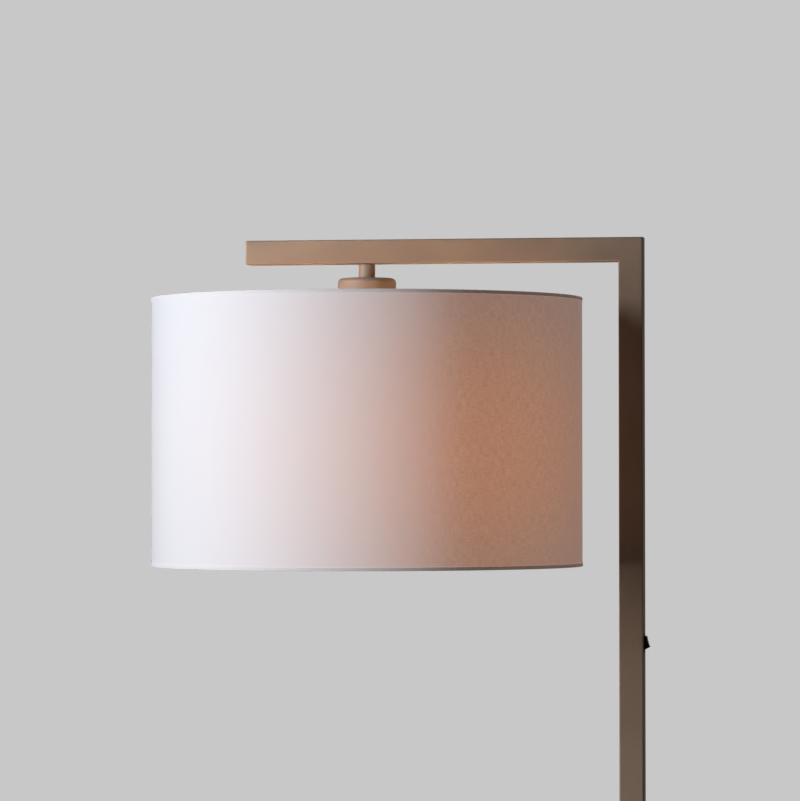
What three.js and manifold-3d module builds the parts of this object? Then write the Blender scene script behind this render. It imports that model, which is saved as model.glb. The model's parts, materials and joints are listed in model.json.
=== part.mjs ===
// Floor lamp with a cantilevered arm. A square tube post stands near one edge of a weighted base,
// turns through a mitred corner into a level arm, and carries a fabric drum shade that hangs round a
// lampholder under the arm. A rocker switch is let into the post.
//
// Millimetres, +Z up. The origin is the centre of the base's underside, on the floor. The post is
// towards +X, the arm runs towards -X and the lamp's front is -Y.

import * as THREE from 'three';
import { mergeVertices } from 'three/addons/utils/BufferGeometryUtils.js';
import Module from 'manifold-3d';

const wasm = await Module();
wasm.setup();

// ---- Driving dimensions ------------------------------------------------------------------------

const gap = 0.3; // clearance between pieces that seat on or in each other

// Whole lamp
const lampHeight = 1550; // floor to the arm's top face
const shadeReach = 278; // post axis to shade axis
const armOverhang = 127; // shade axis to the arm's free end
const shadeDrop = 61; // arm's top face to the shade's top edge
const switchDrop = 420; // arm's top face to the switch's centre
const jointHeight = 780; // floor to the joint between the two lengths of post

// Square tube
const tubeSide = 25;
const tubeWall = 1.5;
const tubeEdgeRadius = 1.4;

// Base
const baseSide = 300;
const baseHeight = 22; // floor to the cover's top face
const baseCornerRadius = 6;
const coverWall = 1.5;
const coverEdgeRadius = 2;
const padThickness = 2;
const padInset = 4; // cover's edge to the pad's edge
const plateThickness = 1.5;
const castingWidth = 270;
const weightThickness = 14;
const postSetback = 30; // base's edge to the post axis
const plateScrewInset = 40; // base's edge to each plate screw
const bossRadius = 7;

// Wiring chamber cast into the weight's underside
const chamberDepth = 9;
const chamberBeyondPost = 11; // post axis to the chamber's +X wall
const chamberLength = 74;
const chamberFront = 14; // post axis to the chamber's -Y wall
const chamberBack = 60; // post axis to the chamber's +Y wall
const inletOffset = 50; // post axis to the cable inlet, along Y
const inletRadius = 5;
const inletBoreRadius = 3.5;
const inletFlange = 1.5;

// Hollow threaded nipples (M10) with their nuts and washers
const nippleRadius = 5;
const nippleBore = 4;
const nutFlats = 14;
const nutSides = 6;
const nutThickness = 4;
const washerRadius = 10;
const washerThickness = 2;
const nippleSpare = 0.8; // thread left standing past a nut
const footPlugHeight = 18;

// Joiner inside the post
const joinerHalfLength = 60;
const joinerWall = 3;
const joinerScrewOffset = 30; // joint to each grub screw
const grubRadius = 2.5;
const grubSocketRadius = 1.4;

// Stem, cup and lampholder
const stemRadius = 8.6;
const stemLength = 15; // arm's underside to the cup's top
const cupRadius = 30.5;
const cupHeight = 50;
const cupWall = 1.2;
const cupShoulderRadius = 5;
const holderRadius = 19.75;
const holderWall = 2.2;
const holderCapHeight = 20;
const holderCapShoulder = 10;
const holderNeckRadius = 9;
const holderNeckHeight = 4.2;
const holderTail = 1.9; // body below the lower shade ring
const holderLip = 2; // inward lip at the body's mouth
const coreDepth = 4; // cap's mouth to the insulating core
const coreThickness = 8;
const bulbSeatDepth = 6; // core's underside to the seated bulb's tip
const socketShellRadius = 14.6;
const socketFlangeWidth = 2;
const contactBulge = 1.5; // how far the folded leaf stands out past its ends
const sheetBrass = 0.8;
const shadeRingRadius = 29;
const shadeRingThickness = 7;
const shadeRingFlutes = 20;
const shadeRingFluteDepth = 0.5;

// Shade
const shadeDiameter = 450; // over the fabric
const shadeHeight = 280; // over the edge trims
const fabricThickness = 0.6;
const linerThickness = 0.6;
const trimThickness = 0.6;
const trimHeight = 3.5;
const wireRadius = 2; // edge rings
const spokeRadius = 1.7;
const spokeCount = 3;
const spokeBendRadius = 9;
const fitterRadius = 33;
const fitterThickness = 2;

// Bulb, E27
const bulbLength = 110;
const bulbGlobeRadius = 30;
const bulbGlassWall = 1.2;
const bulbNeckLength = 27; // tip to the end of the screw shell
const bulbShellRadius = 13.1;
const bulbTipRadius = 4.75;
const bulbTipHeight = 1.8;
const bulbInsulatorHeight = 4.5;
const bulbCollarRadius = 28.4;
const bulbCollarLip = 4;
const bulbShellCone = 2;
const collarNeckChamfer = 2;
const collarFlareBulge = 1; // how far the flare swells past the shell near its top

// Rocker switch, measured from the post's face
const bezelHeight = 20.7;
const bezelWidth = 15;
const bezelProud = 2.6;
const bezelBevel = 2;
const bezelCornerRadius = 2.5;
const switchBodyHeight = 18.6;
const switchBodyWidth = 12.4;
const switchBodyDepth = 12.8;
const switchFloor = 1.6;
const latchLength = 4;
const wellHeight = 16.2;
const wellWidth = 10.2;
const pivotDepth = 2.6; // behind the post's face
const pivotRadius = 1.2;
const pivotLength = 0.9;
const runningFit = 0.06; // radial clearance round the rocker's pivots
const rockerRadius = 7.4; // the rocker's ends inside the well follow this radius about the pivot
const rockerTipReach = 6; // pivot to each tip, along the rocker
const rockerTipHeight = 7.1; // pivot to each tip, outwards
const rockerValley = 6.7; // pivot to the middle of the dished face
const rockerDepth = 2.2; // pivot to the rocker's inner side
const rockerTilt = 15; // degrees from the level position to either stop
const plungerRadius = 1.3;
const springLength = 2.7;
const springWire = 0.2;
const springTurns = 4;
const bridgeDepth = 9.4; // post's face to the middle of the rocking contact
const bridgeLength = 10;
const bridgeWidth = 4;
const bridgeTilt = 6; // degrees from level to either stop
const bladeWidth = 4.8;
const bladeThickness = 0.8;
const bladeTail = 5; // blade standing out behind the switch
const feedBladeOffset = 4.5; // switch's centre down to the feed blade

// Leads
const leadRadius = 1;
const leadSpread = 2.2; // bore axis to each lead in a nipple
const leadBend = 6;

// Small fasteners
const screwRadius = 2;
const screwHeadRadius = 4;
const screwLength = 9.5;

// Facets round a full turn
const fine = 36;
const medium = 20;
const coarse = 12;

// Facets round a rounded corner or a bevel, and round a bend of a wire
const cornerSteps = 3;
const wireBendSteps = 2;
const wireSides = 6;
const glassSteps = 7; // along the globe's and its collar's curved profiles

// ---- Derived places ----------------------------------------------------------------------------

const half = tubeSide / 2;
const boreHalf = half - tubeWall;
const insertSide = tubeSide - 2 * tubeWall - 2 * gap; // what slides into the tube
const postX = baseSide / 2 - postSetback;
const armUnderside = lampHeight - tubeSide;
const switchZ = lampHeight - switchDrop;

const plateBottom = padThickness + gap;
const plateTop = plateBottom + plateThickness;
const weightTop = baseHeight - coverWall - gap;
const weightBottom = weightTop - weightThickness;
const chamberCeiling = weightBottom + chamberDepth;
const inletZ = weightBottom + chamberDepth / 2;
const postFoot = baseHeight + gap;

// Under the arm, measured down from its underside
const cupTop = -stemLength;
const cupBottom = cupTop - cupHeight;
const cupNutTop = cupTop - cupWall - gap;
const holderTop = cupNutTop - nutThickness - gap;
const holderCapBottom = holderTop - holderCapHeight;
const upperRingTop = cupBottom - 2 * gap;
const fitterTop = upperRingTop - shadeRingThickness - gap;
const fitterBottom = fitterTop - fitterThickness;
const lowerRingTop = fitterBottom - gap;
const holderBottom = lowerRingTop - shadeRingThickness - holderTail;
const coreTop = holderCapBottom - coreDepth;
const coreBottom = coreTop - coreThickness;
const bulbTop = coreBottom - bulbSeatDepth;

// Shade, measured from the arm's underside and from the shade's axis
const shadeTop = tubeSide - shadeDrop;
const shadeBottom = shadeTop - shadeHeight;
const fabricRadius = shadeDiameter / 2;
const linerRadius = fabricRadius - fabricThickness - gap;
const linerInner = linerRadius - linerThickness;
const wireCentre = linerInner - gap - wireRadius;
const sheetInset = trimThickness + gap; // shade's edge to the fabric's edge
const wireInset = sheetInset + wireRadius; // shade's edge to the wire's centre

// ---- Shaping -----------------------------------------------------------------------------------

const weld = 1e-4;
const quarter = Math.PI / 2;

/** A closed geometry as a solid with shared vertices and its faces outwards. */
function solidOf(geometry) {
  const bare = geometry.clone();
  bare.deleteAttribute('normal');
  bare.deleteAttribute('uv');
  const merged = mergeVertices(bare, weld);
  const corners = merged.attributes.position;
  const indices = merged.index.array;
  const [p, q, r] = [new THREE.Vector3(), new THREE.Vector3(), new THREE.Vector3()];
  const triangles = [];
  let volume = 0;
  for (let i = 0; i < indices.length; i += 3) {
    const [a, b, c] = indices.slice(i, i + 3);
    if (a === b || b === c || c === a) continue;
    triangles.push([a, b, c]);
    p.fromBufferAttribute(corners, a);
    q.fromBufferAttribute(corners, b);
    r.fromBufferAttribute(corners, c);
    volume += p.dot(q.cross(r));
  }
  const outward = volume > 0 ? triangles : triangles.map(([a, b, c]) => [a, c, b]);
  return new wasm.Manifold(new wasm.Mesh({
    numProp: 3,
    vertProperties: Float32Array.from(corners.array),
    triVerts: Uint32Array.from(outward.flat()),
  }));
}

/** A solid's triangles as a geometry. */
function geometryOf(solid) {
  const mesh = solid.getMesh();
  const geometry = new THREE.BufferGeometry();
  geometry.setAttribute('position', new THREE.BufferAttribute(mesh.vertProperties, 3));
  geometry.setIndex(new THREE.BufferAttribute(mesh.triVerts, 1));
  geometry.computeVertexNormals();
  return geometry;
}

const cut = (solid, ...tools) => tools.reduce((left, tool) => left.subtract(tool), solid);
const join = (solid, ...others) => others.reduce((sum, other) => sum.add(other), solid);

/** A rectangle with round corners, centred. Outline is THREE.Shape for a profile, THREE.Path for a hole. */
function roundedRect(width, height, radius, Outline = THREE.Shape) {
  const [x, y] = [width / 2 - radius, height / 2 - radius];
  const outline = new Outline();
  outline.absarc(x, y, radius, 0, quarter);
  outline.absarc(-x, y, radius, quarter, 2 * quarter);
  outline.absarc(-x, -y, radius, 2 * quarter, 3 * quarter);
  outline.absarc(x, -y, radius, 3 * quarter, 4 * quarter);
  return outline;
}

/** A profile in X and Y raised along Z from bottom to top. */
function raised(shape, bottom, top, curveSegments = cornerSteps) {
  const options = { depth: top - bottom, bevelEnabled: false, curveSegments };
  return solidOf(new THREE.ExtrudeGeometry(shape, options).translate(0, 0, bottom));
}

/** The same, with its upper edge rounded by a bevel. */
function raisedRounded(shape, bottom, top, edgeRadius, bevelSegments = cornerSteps) {
  const options = {
    depth: top - bottom - edgeRadius,
    bevelThickness: edgeRadius,
    bevelSize: edgeRadius,
    bevelOffset: -edgeRadius,
    bevelSegments,
    curveSegments: cornerSteps,
  };
  const whole = solidOf(new THREE.ExtrudeGeometry(shape, options).translate(0, 0, bottom));
  const reach = baseSide;
  return cut(whole, box([-reach, -reach, bottom - 2 * edgeRadius], [reach, reach, bottom]));
}

/** A profile whose X and Y are the lamp's X and Z, extruded along Y and centred on it. */
function acrossY(shape, width, curveSegments = cornerSteps) {
  const options = { depth: width, bevelEnabled: false, curveSegments };
  return solidOf(new THREE.ExtrudeGeometry(shape, options).rotateX(quarter).translate(0, width / 2, 0));
}

/** Turns a solid built along Z so that Z points along X, its X along Y and its Y along Z. */
function facingX(solid) {
  const turn = new THREE.Matrix4().makeBasis(
    new THREE.Vector3(0, 1, 0), new THREE.Vector3(0, 0, 1), new THREE.Vector3(1, 0, 0));
  return solid.transform(turn.elements);
}

/** A profile of [radius, height] points turned round Z. It closes on itself or on the axis. */
function turned(profile, segments = medium) {
  const points = profile.map(([radius, height]) => new THREE.Vector2(radius, height));
  return solidOf(new THREE.LatheGeometry(points, segments).rotateX(quarter));
}

/** A ring, tube or washer round Z. */
function ring(outer, inner, bottom, top, segments = medium) {
  return turned([[inner, bottom], [outer, bottom], [outer, top], [inner, top], [inner, bottom]], segments);
}

/** A round bar along Z. */
function rod(radius, bottom, top, segments = coarse) {
  return turned([[0, bottom], [radius, bottom], [radius, top], [0, top]], segments);
}

function box(low, high) {
  const [dx, dy, dz] = [0, 1, 2].map((i) => high[i] - low[i]);
  const centre = [0, 1, 2].map((i) => (high[i] + low[i]) / 2);
  return solidOf(new THREE.BoxGeometry(dx, dy, dz).translate(...centre));
}

/** Points on an arc, as [radius, height] pairs for a turned profile. Angles in degrees. */
function arc(centreRadius, centreHeight, radius, from, to, steps = cornerSteps) {
  return Array.from({ length: steps + 1 }, (_, i) => {
    const angle = THREE.MathUtils.degToRad(from + ((to - from) * i) / steps);
    return [centreRadius + radius * Math.cos(angle), centreHeight + radius * Math.sin(angle)];
  });
}

/** A six-sided nut round Z. */
function hexNut(flats, bore, bottom, top) {
  const corner = flats / 2 / Math.cos(Math.PI / nutSides);
  const turn = (4 * quarter) / nutSides;
  const shape = new THREE.Shape(Array.from({ length: nutSides }, (_, i) =>
    new THREE.Vector2(corner * Math.cos(i * turn), corner * Math.sin(i * turn))));
  shape.holes.push(new THREE.Path().absarc(0, 0, bore, 0, 4 * quarter));
  return raised(shape, bottom, top, coarse / 2);
}

/** A bent route: straight runs joined by round bends, with sections only where it turns. */
class BentRoute extends THREE.Curve {
  constructor(corners, bendRadius, bendSteps = wireBendSteps) {
    super();
    const points = corners.map((corner) => new THREE.Vector3(...corner));
    this.knots = [points[0]];
    for (let i = 1; i < points.length - 1; i++) {
      const [back, ahead] = [points[i - 1].clone().sub(points[i]), points[i + 1].clone().sub(points[i])];
      const tangent = bendRadius / Math.tan(back.angleTo(ahead) / 2);
      const reach = Math.min(tangent, back.length() / 2.1, ahead.length() / 2.1);
      const bend = new THREE.QuadraticBezierCurve3(
        points[i].clone().addScaledVector(back.normalize(), reach), points[i],
        points[i].clone().addScaledVector(ahead.normalize(), reach));
      this.knots.push(...bend.getPoints(bendSteps));
    }
    this.knots.push(points.at(-1));
  }

  getPoint(t, target = new THREE.Vector3()) {
    const along = t * (this.knots.length - 1);
    const i = Math.min(Math.floor(along + weld), this.knots.length - 2);
    return target.lerpVectors(this.knots[i], this.knots[i + 1], along - i);
  }

  getPointAt(t, target) {
    return this.getPoint(t, target);
  }

  getTangentAt(t, target) {
    return this.getTangent(t, target);
  }
}

/** A round wire along a bent route. */
function wireAlong(corners, radius, bendRadius) {
  const path = new BentRoute(corners, bendRadius);
  const section = new THREE.Shape().absarc(0, 0, radius, 0, 4 * quarter);
  const options = { steps: path.knots.length - 1, extrudePath: path, curveSegments: wireSides / 2 };
  return solidOf(new THREE.ExtrudeGeometry(section, options));
}

/** A flat strip of even thickness along a line of [x, y] points, as a profile. */
function stripProfile(line, thickness) {
  const points = line.map(([x, y]) => new THREE.Vector2(x, y));
  const offset = (side) => points.map((point, i) => {
    const before = point.clone().sub(points[Math.max(i - 1, 0)]).normalize();
    const after = points[Math.min(i + 1, points.length - 1)].clone().sub(point).normalize();
    const along = before.clone().add(after).normalize();
    const run = before.lengthSq() > 0 ? before : after;
    const normal = new THREE.Vector2(-along.y, along.x);
    const stretch = 1 / Math.abs(normal.dot(new THREE.Vector2(-run.y, run.x)));
    return point.clone().addScaledVector(normal, (side * stretch * thickness) / 2);
  });
  return new THREE.Shape([...offset(1), ...offset(-1).reverse()]);
}

// ---- Finishes ----------------------------------------------------------------------------------

const finish = (color, roughness, metalness) => () =>
  new THREE.MeshStandardMaterial({ color, roughness, metalness });

const bronze = finish(0x9a806c, 0.45, 0.55);
const castIron = finish(0x3b3a39, 0.75, 0.6);
const zinc = finish(0xb4b7b8, 0.35, 0.9);
const brass = finish(0xc7a75c, 0.3, 0.95);
const blackPlastic = finish(0x141414, 0.45, 0);
const whitePlastic = finish(0xeae8e2, 0.5, 0);
const blackFoam = finish(0x1d1d1d, 0.95, 0);
const cotton = finish(0xf0edee, 0.9, 0);
const linerFilm = finish(0xf3f1ea, 0.6, 0);
const opalGlass = finish(0xfff4e4, 0.35, 0);
const whiteEnamel = finish(0xe6e4e0, 0.4, 0.2);
const brownSheath = finish(0x6b3f22, 0.55, 0);
const blueSheath = finish(0x2c62b0, 0.55, 0);
const greenSheath = finish(0x4f9a3c, 0.55, 0);

/** A named piece of the lamp. */
function piece(name, material, solid) {
  const mesh = new THREE.Mesh(geometryOf(solid), material());
  mesh.name = name;
  return mesh;
}

/** Pieces that share one place. */
function placed(position, ...members) {
  const group = new THREE.Group();
  group.position.set(...position);
  group.add(...members);
  return group;
}

// ---- Base --------------------------------------------------------------------------------------

const chamberSouth = -chamberFront;
const chamberEast = postX + chamberBeyondPost;
const chamberWest = chamberEast - chamberLength;
const screwSpots = [[1, 1], [-1, 1], [-1, -1], [1, -1]].map(
  ([x, y]) => [x * (baseSide / 2 - plateScrewInset), y * (baseSide / 2 - plateScrewInset)]);
const screwTip = plateTop + screwLength;

/** Soft pad that covers the whole underside and rests on the floor. */
function basePad() {
  const side = baseSide - 2 * padInset;
  return raised(roundedRect(side, side, baseCornerRadius), 0, padThickness);
}

/** Steel plate that closes the cover from below, countersunk for its screws. */
function basePlate() {
  const side = baseSide - 2 * coverWall - 2 * gap;
  const plate = raised(roundedRect(side, side, baseCornerRadius - coverWall), plateBottom, plateTop);
  const countersink = turned([
    [0, plateBottom - gap], [screwHeadRadius + 2 * gap, plateBottom - gap],
    [screwRadius + gap, plateTop + gap], [0, plateTop + gap],
  ], coarse);
  return cut(plate, ...screwSpots.map(([x, y]) => countersink.translate([x, y, 0])));
}

/** Countersunk screw from the plate into a boss of the weight. */
function plateScrew() {
  return turned([
    [0, plateBottom], [screwHeadRadius, plateBottom], [screwRadius, plateTop],
    [screwRadius, screwTip - screwRadius / 2], [screwRadius / 2, screwTip], [0, screwTip],
  ], coarse);
}

/** Cast weight with four bosses, a wiring chamber open downwards and a channel to the cable inlet. */
function baseWeight() {
  const slab = raisedRounded(
    roundedRect(castingWidth, castingWidth, baseCornerRadius), weightBottom, weightTop, coverEdgeRadius);
  const boss = rod(bossRadius, plateTop + gap, weightBottom + gap);
  const tapping = rod(screwRadius + gap, plateTop, screwTip + gap);
  const chamber = box(
    [chamberWest, chamberSouth, weightBottom - gap], [chamberEast, chamberBack, chamberCeiling]);
  const channel = box(
    [chamberEast - gap, inletOffset - inletRadius, weightBottom - gap],
    [baseSide / 2, inletOffset + inletRadius, chamberCeiling]);
  const shaftHole = rod(nippleRadius + gap, chamberCeiling - gap, weightTop + gap);
  const earthHole = rod(screwRadius + gap, chamberCeiling - gap, chamberCeiling + earthScrewDepth + gap);
  return cut(
    join(slab, ...screwSpots.map(([x, y]) => boss.translate([x, y, 0]))),
    chamber,
    channel,
    shaftHole.translate([postX, 0, 0]),
    earthHole.translate([earthX, earthY, 0]),
    ...screwSpots.map(([x, y]) => tapping.translate([x, y, 0])),
  );
}

/** Stamped cover, open downwards, with the post's hole and the cable inlet in its +X side. */
function baseCover() {
  const inside = baseSide - 2 * coverWall;
  const outer = raisedRounded(
    roundedRect(baseSide, baseSide, baseCornerRadius), plateBottom, baseHeight, coverEdgeRadius);
  const hollow = raised(
    roundedRect(inside, inside, baseCornerRadius - coverWall), 0, baseHeight - coverWall);
  const shaftHole = rod(nippleRadius + gap, baseHeight - 2 * coverWall, baseHeight + gap);
  const inlet = facingX(rod(inletRadius, -2 * coverWall, coverWall));
  return cut(
    outer,
    hollow,
    shaftHole.translate([postX, 0, 0]),
    inlet.translate([baseSide / 2, inletOffset, inletZ]),
  );
}

/** Rubber bush that lines the cable inlet, gripping the cover's wall between two flanges. */
function cableBush() {
  const flangeRadius = inletRadius + inletFlange;
  const inner = -coverWall - gap;
  return facingX(turned([
    [inletBoreRadius, inner - inletFlange], [flangeRadius, inner - inletFlange], [flangeRadius, inner],
    [inletRadius - gap, inner], [inletRadius - gap, gap], [flangeRadius, gap],
    [flangeRadius - inletFlange / 3, gap + inletFlange], [inletBoreRadius, gap + inletFlange],
    [inletBoreRadius, inner - inletFlange],
  ], coarse));
}

const blockPitch = 8;
const blockPoles = 3;
const blockDepth = 16; // along Y
const blockHeight = 9;
const blockBore = 1.6;
const blockWest = 40; // post axis to the block's -X end
const blockSouth = 35; // post axis to the block's -Y face, where the lamp's own leads enter
const blockTop = chamberCeiling - gap;
const blockBoreZ = blockTop - blockHeight / 2;
const poleX = (pole) => postX - blockWest + blockPitch * (pole + 0.5);

/** Three-pole terminal block: a barrel for each pole on a common strip, with clamping screw holes. */
function terminalBlock() {
  const shape = new THREE.Shape();
  const [west, shoulder] = [poleX(0) - blockPitch / 2, blockHeight / 3];
  const barrel = blockPitch / 2 - 2 * gap;
  shape.moveTo(west, blockTop);
  shape.lineTo(west, blockTop - shoulder);
  for (let pole = 0; pole < blockPoles; pole++) {
    shape.lineTo(poleX(pole) - barrel, blockTop - shoulder);
    shape.absarc(poleX(pole), blockTop - blockHeight + barrel, barrel, 2 * quarter, 4 * quarter);
    shape.lineTo(poleX(pole) + barrel, blockTop - shoulder);
    shape.holes.push(new THREE.Path().absarc(poleX(pole), blockBoreZ, blockBore, 0, 4 * quarter));
  }
  shape.lineTo(poleX(blockPoles - 1) + blockPitch / 2, blockTop - shoulder);
  shape.lineTo(poleX(blockPoles - 1) + blockPitch / 2, blockTop);
  const body = acrossY(shape, blockDepth).translate([0, blockSouth + blockDepth / 2, 0]);
  const clampHole = rod(blockBore, blockTop - 2 * blockHeight, blockBoreZ, 8);
  const rows = [blockSouth + blockDepth / 4, blockSouth + (3 * blockDepth) / 4];
  const poles = Array.from({ length: blockPoles }, (_, pole) => poleX(pole));
  return cut(body, ...poles.flatMap((x) => rows.map((y) => clampHole.translate([x, y, 0]))));
}

const earthX = postX - blockWest - blockPitch;
const earthY = 4;
const earthScrewDepth = 3.6;
const earthHeadHeight = 2.6;

/** Earth screw with a flat washer under its head, tapped up into the weight. */
function earthScrew() {
  const face = chamberCeiling - gap;
  const seat = face - sheetBrass;
  return turned([
    [0, face + earthScrewDepth], [screwRadius, face + earthScrewDepth], [screwRadius, face],
    [screwHeadRadius + 1, face], [screwHeadRadius + 1, seat], [screwHeadRadius, seat],
    [screwHeadRadius, seat - earthHeadHeight / 2], [screwHeadRadius - 1, seat - earthHeadHeight],
    [0, seat - earthHeadHeight],
  ], coarse);
}

// ---- Post and arm ------------------------------------------------------------------------------

const footTop = postFoot + footPlugHeight;
const footNutTop = chamberCeiling - washerThickness - 2 * gap;

/** Plug in the post's lower end, tapped for the nipple that ties the post to the base. */
function footPlug() {
  const shape = roundedRect(insertSide, insertSide, tubeEdgeRadius / 2);
  shape.holes.push(new THREE.Path().absarc(0, 0, nippleRadius + gap, 0, 4 * quarter));
  return raised(shape, postFoot, footTop, coarse / 2);
}

/** Square tube from bottom to top. */
function squareTube(side, wall, edgeRadius, bottom, top) {
  const shape = roundedRect(side, side, edgeRadius);
  shape.holes.push(roundedRect(side - 2 * wall, side - 2 * wall, edgeRadius / 3, THREE.Path));
  return raised(shape, bottom, top);
}

/** Hole through a rear wall for a grub screw at a height. */
const grubHole = (height) =>
  facingX(rod(grubRadius + gap, 0, tubeSide)).rotate([0, 0, 90]).translate([0, 0, height]);

function lowerPost() {
  const tube = squareTube(tubeSide, tubeWall, tubeEdgeRadius, postFoot, jointHeight - gap / 2);
  return cut(tube, grubHole(jointHeight - joinerScrewOffset));
}

/** Square sleeve inside both lengths of post, tapped for a grub screw in each. */
function postJoiner() {
  const sleeve = squareTube(
    insertSide, joinerWall, tubeEdgeRadius / 2, jointHeight - joinerHalfLength, jointHeight + joinerHalfLength);
  return cut(
    sleeve, grubHole(jointHeight - joinerScrewOffset), grubHole(jointHeight + joinerScrewOffset));
}

/** Socketed grub screw, flush with the post's rear face. */
function grubScrew() {
  const [tip, head] = [insertSide / 2 - joinerWall + gap, half - gap];
  const screw = turned([
    [0, tip], [grubRadius / 2, tip], [grubRadius, tip + grubRadius / 2], [grubRadius, head], [0, head],
  ], coarse);
  const socket = rod(grubSocketRadius, head - grubRadius, head + gap, 6);
  return facingX(cut(screw, socket)).rotate([0, 0, 90]);
}

/**
 * Upper post and arm: one square tube swept down the post and along the arm, its section
 * stretched across the diagonal where the two lengths meet in a mitre.
 */
function armFrame() {
  const section = roundedRect(tubeSide, tubeSide, tubeEdgeRadius).getPoints(cornerSteps);
  const boreSide = tubeSide - 2 * tubeWall;
  const bore = roundedRect(boreSide, boreSide, tubeEdgeRadius / 3).getPoints(1);
  const armAxis = lampHeight - half;
  const stations = [
    ([u, v]) => [u, v, jointHeight + gap / 2],
    ([u, v]) => [u, v, armAxis + u],
    ([u, v]) => [-shadeReach - armOverhang, v, armAxis + u],
  ];
  const sweep = (outline) => {
    const loop = outline.slice(0, -1).map((point) => [point.x, point.y]);
    const corners = stations.flatMap((station) => loop.map(station));
    const count = loop.length;
    const faces = [];
    for (let s = 0; s < stations.length - 1; s++) {
      for (let i = 0; i < count; i++) {
        const [a, b] = [s * count + i, s * count + ((i + 1) % count)];
        faces.push(a, b, a + count, b, b + count, a + count);
      }
    }
    const cap = THREE.ShapeUtils.triangulateShape(loop.map(([u, v]) => new THREE.Vector2(u, v)), []);
    const last = (stations.length - 1) * count;
    cap.forEach(([a, b, c]) => faces.push(a, c, b, last + a, last + b, last + c));
    const geometry = new THREE.BufferGeometry();
    geometry.setAttribute('position', new THREE.Float32BufferAttribute(corners.flat(), 3));
    geometry.setIndex(faces);
    return solidOf(geometry);
  };
  const lower = box(
    [-boreSide / 2, -boreSide / 2, jointHeight - tubeSide], [boreSide / 2, boreSide / 2, jointHeight + tubeSide]);
  const mouth = box(
    [-shadeReach - armOverhang - tubeSide, -boreSide / 2, armAxis - boreSide / 2],
    [-shadeReach - armOverhang + tubeSide, boreSide / 2, armAxis + boreSide / 2]);
  const stemHole = rod(nippleRadius + gap, armUnderside - gap, armUnderside + 2 * tubeWall);
  const switchHole = box(
    [boreHalf - tubeWall, -switchBodyWidth / 2 - gap, switchZ - switchBodyHeight / 2 - gap],
    [half + tubeWall, switchBodyWidth / 2 + gap, switchZ + switchBodyHeight / 2 + gap]);
  return cut(
    sweep(section),
    join(sweep(bore), lower, mouth),
    stemHole.translate([-shadeReach, 0, 0]),
    switchHole,
    grubHole(jointHeight + joinerScrewOffset),
  );
}

/** Plug that closes the arm's free end, let in flush, with a hollow spigot. */
function armEndPlug() {
  const shape = roundedRect(insertSide, insertSide, tubeEdgeRadius / 2);
  const spigot = insertSide - 2 * joinerWall;
  const plug = raised(shape, 0, half);
  const hollow = raised(roundedRect(spigot, spigot, tubeEdgeRadius / 2), 2 * tubeWall, tubeSide);
  return facingX(cut(plug, hollow));
}

// ---- Stem, cup and lampholder, from the arm's underside down --------------------------------------

const armNutTop = tubeWall + 2 * gap + washerThickness + nutThickness;
const stemNippleBottom = holderTop - holderNeckHeight - nippleSpare;

/** Drawn cup over the lampholder, its shoulder rounded, open downwards. */
function holderCup() {
  const [inner, shoulder] = [cupRadius - cupWall, cupShoulderRadius];
  return turned([
    [nippleRadius + gap, cupTop],
    ...arc(cupRadius - shoulder, cupTop - shoulder, shoulder, 90, 0),
    [cupRadius, cupBottom], [inner, cupBottom],
    ...arc(cupRadius - shoulder, cupTop - shoulder, shoulder - cupWall, 0, 90),
    [nippleRadius + gap, cupTop - cupWall], [nippleRadius + gap, cupTop],
  ], medium);
}

/** Domed cap of the lampholder with a tapped neck. */
function holderCap() {
  const neckBottom = holderTop - holderNeckHeight;
  const [centre, bend] = [holderRadius - holderCapShoulder, holderCapShoulder];
  return turned([
    [nippleRadius + gap, holderTop], [holderNeckRadius, holderTop], [holderNeckRadius, neckBottom],
    ...arc(centre, neckBottom - bend, bend, 90, 0),
    [holderRadius, holderCapBottom], [holderRadius - holderWall, holderCapBottom],
    ...arc(centre, neckBottom - bend, bend - holderWall, 0, 90),
    [nippleRadius + gap, neckBottom - holderWall], [nippleRadius + gap, holderTop],
  ]);
}

/** Threaded outer body of the lampholder, with a lip round its mouth. */
function holderBody() {
  const [inner, top] = [holderRadius - holderWall, holderCapBottom - gap];
  return turned([
    [inner, top], [holderRadius, top], [holderRadius, holderBottom], [inner - holderLip, holderBottom],
    [inner - holderLip, holderBottom + holderLip], [inner, holderBottom + 2 * holderLip], [inner, top],
  ]);
}

const coreWireOffset = 7;

/** Insulating core with an entry hole for each lead. */
function holderCore() {
  const core = rod(holderRadius - holderWall - gap, coreBottom, coreTop, medium);
  const entry = rod(leadRadius + 2 * gap, coreBottom - gap, coreTop + gap, 10);
  return cut(core, entry.translate([0, coreWireOffset, 0]), entry.translate([0, -coreWireOffset, 0]));
}

/** Screw shell of the lampholder, flanged where it hangs under the core. */
function holderShell() {
  const [top, inner] = [coreBottom - gap, socketShellRadius - sheetBrass];
  const bottom = holderBottom + 2 * holderLip + gap;
  return turned([
    [inner, top], [socketShellRadius + socketFlangeWidth, top],
    [socketShellRadius + socketFlangeWidth, top - sheetBrass],
    [socketShellRadius, top - sheetBrass], [socketShellRadius, bottom], [inner, bottom], [inner, top],
  ]);
}

/** Centre contact: a folded leaf that the bulb's tip presses. */
function holderContact() {
  const top = coreBottom - gap - sheetBrass / 2;
  const tongue = bulbTop + gap + sheetBrass / 2;
  const middle = (top + tongue) / 2;
  const leaf = stripProfile(
    [[-bulbTipRadius, top], [bulbTipRadius, top], [bulbTipRadius + contactBulge, middle], [bulbTipRadius, tongue],
      [-bulbTipRadius / 2, tongue]], sheetBrass);
  return acrossY(leaf, bulbTipRadius);
}

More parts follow.
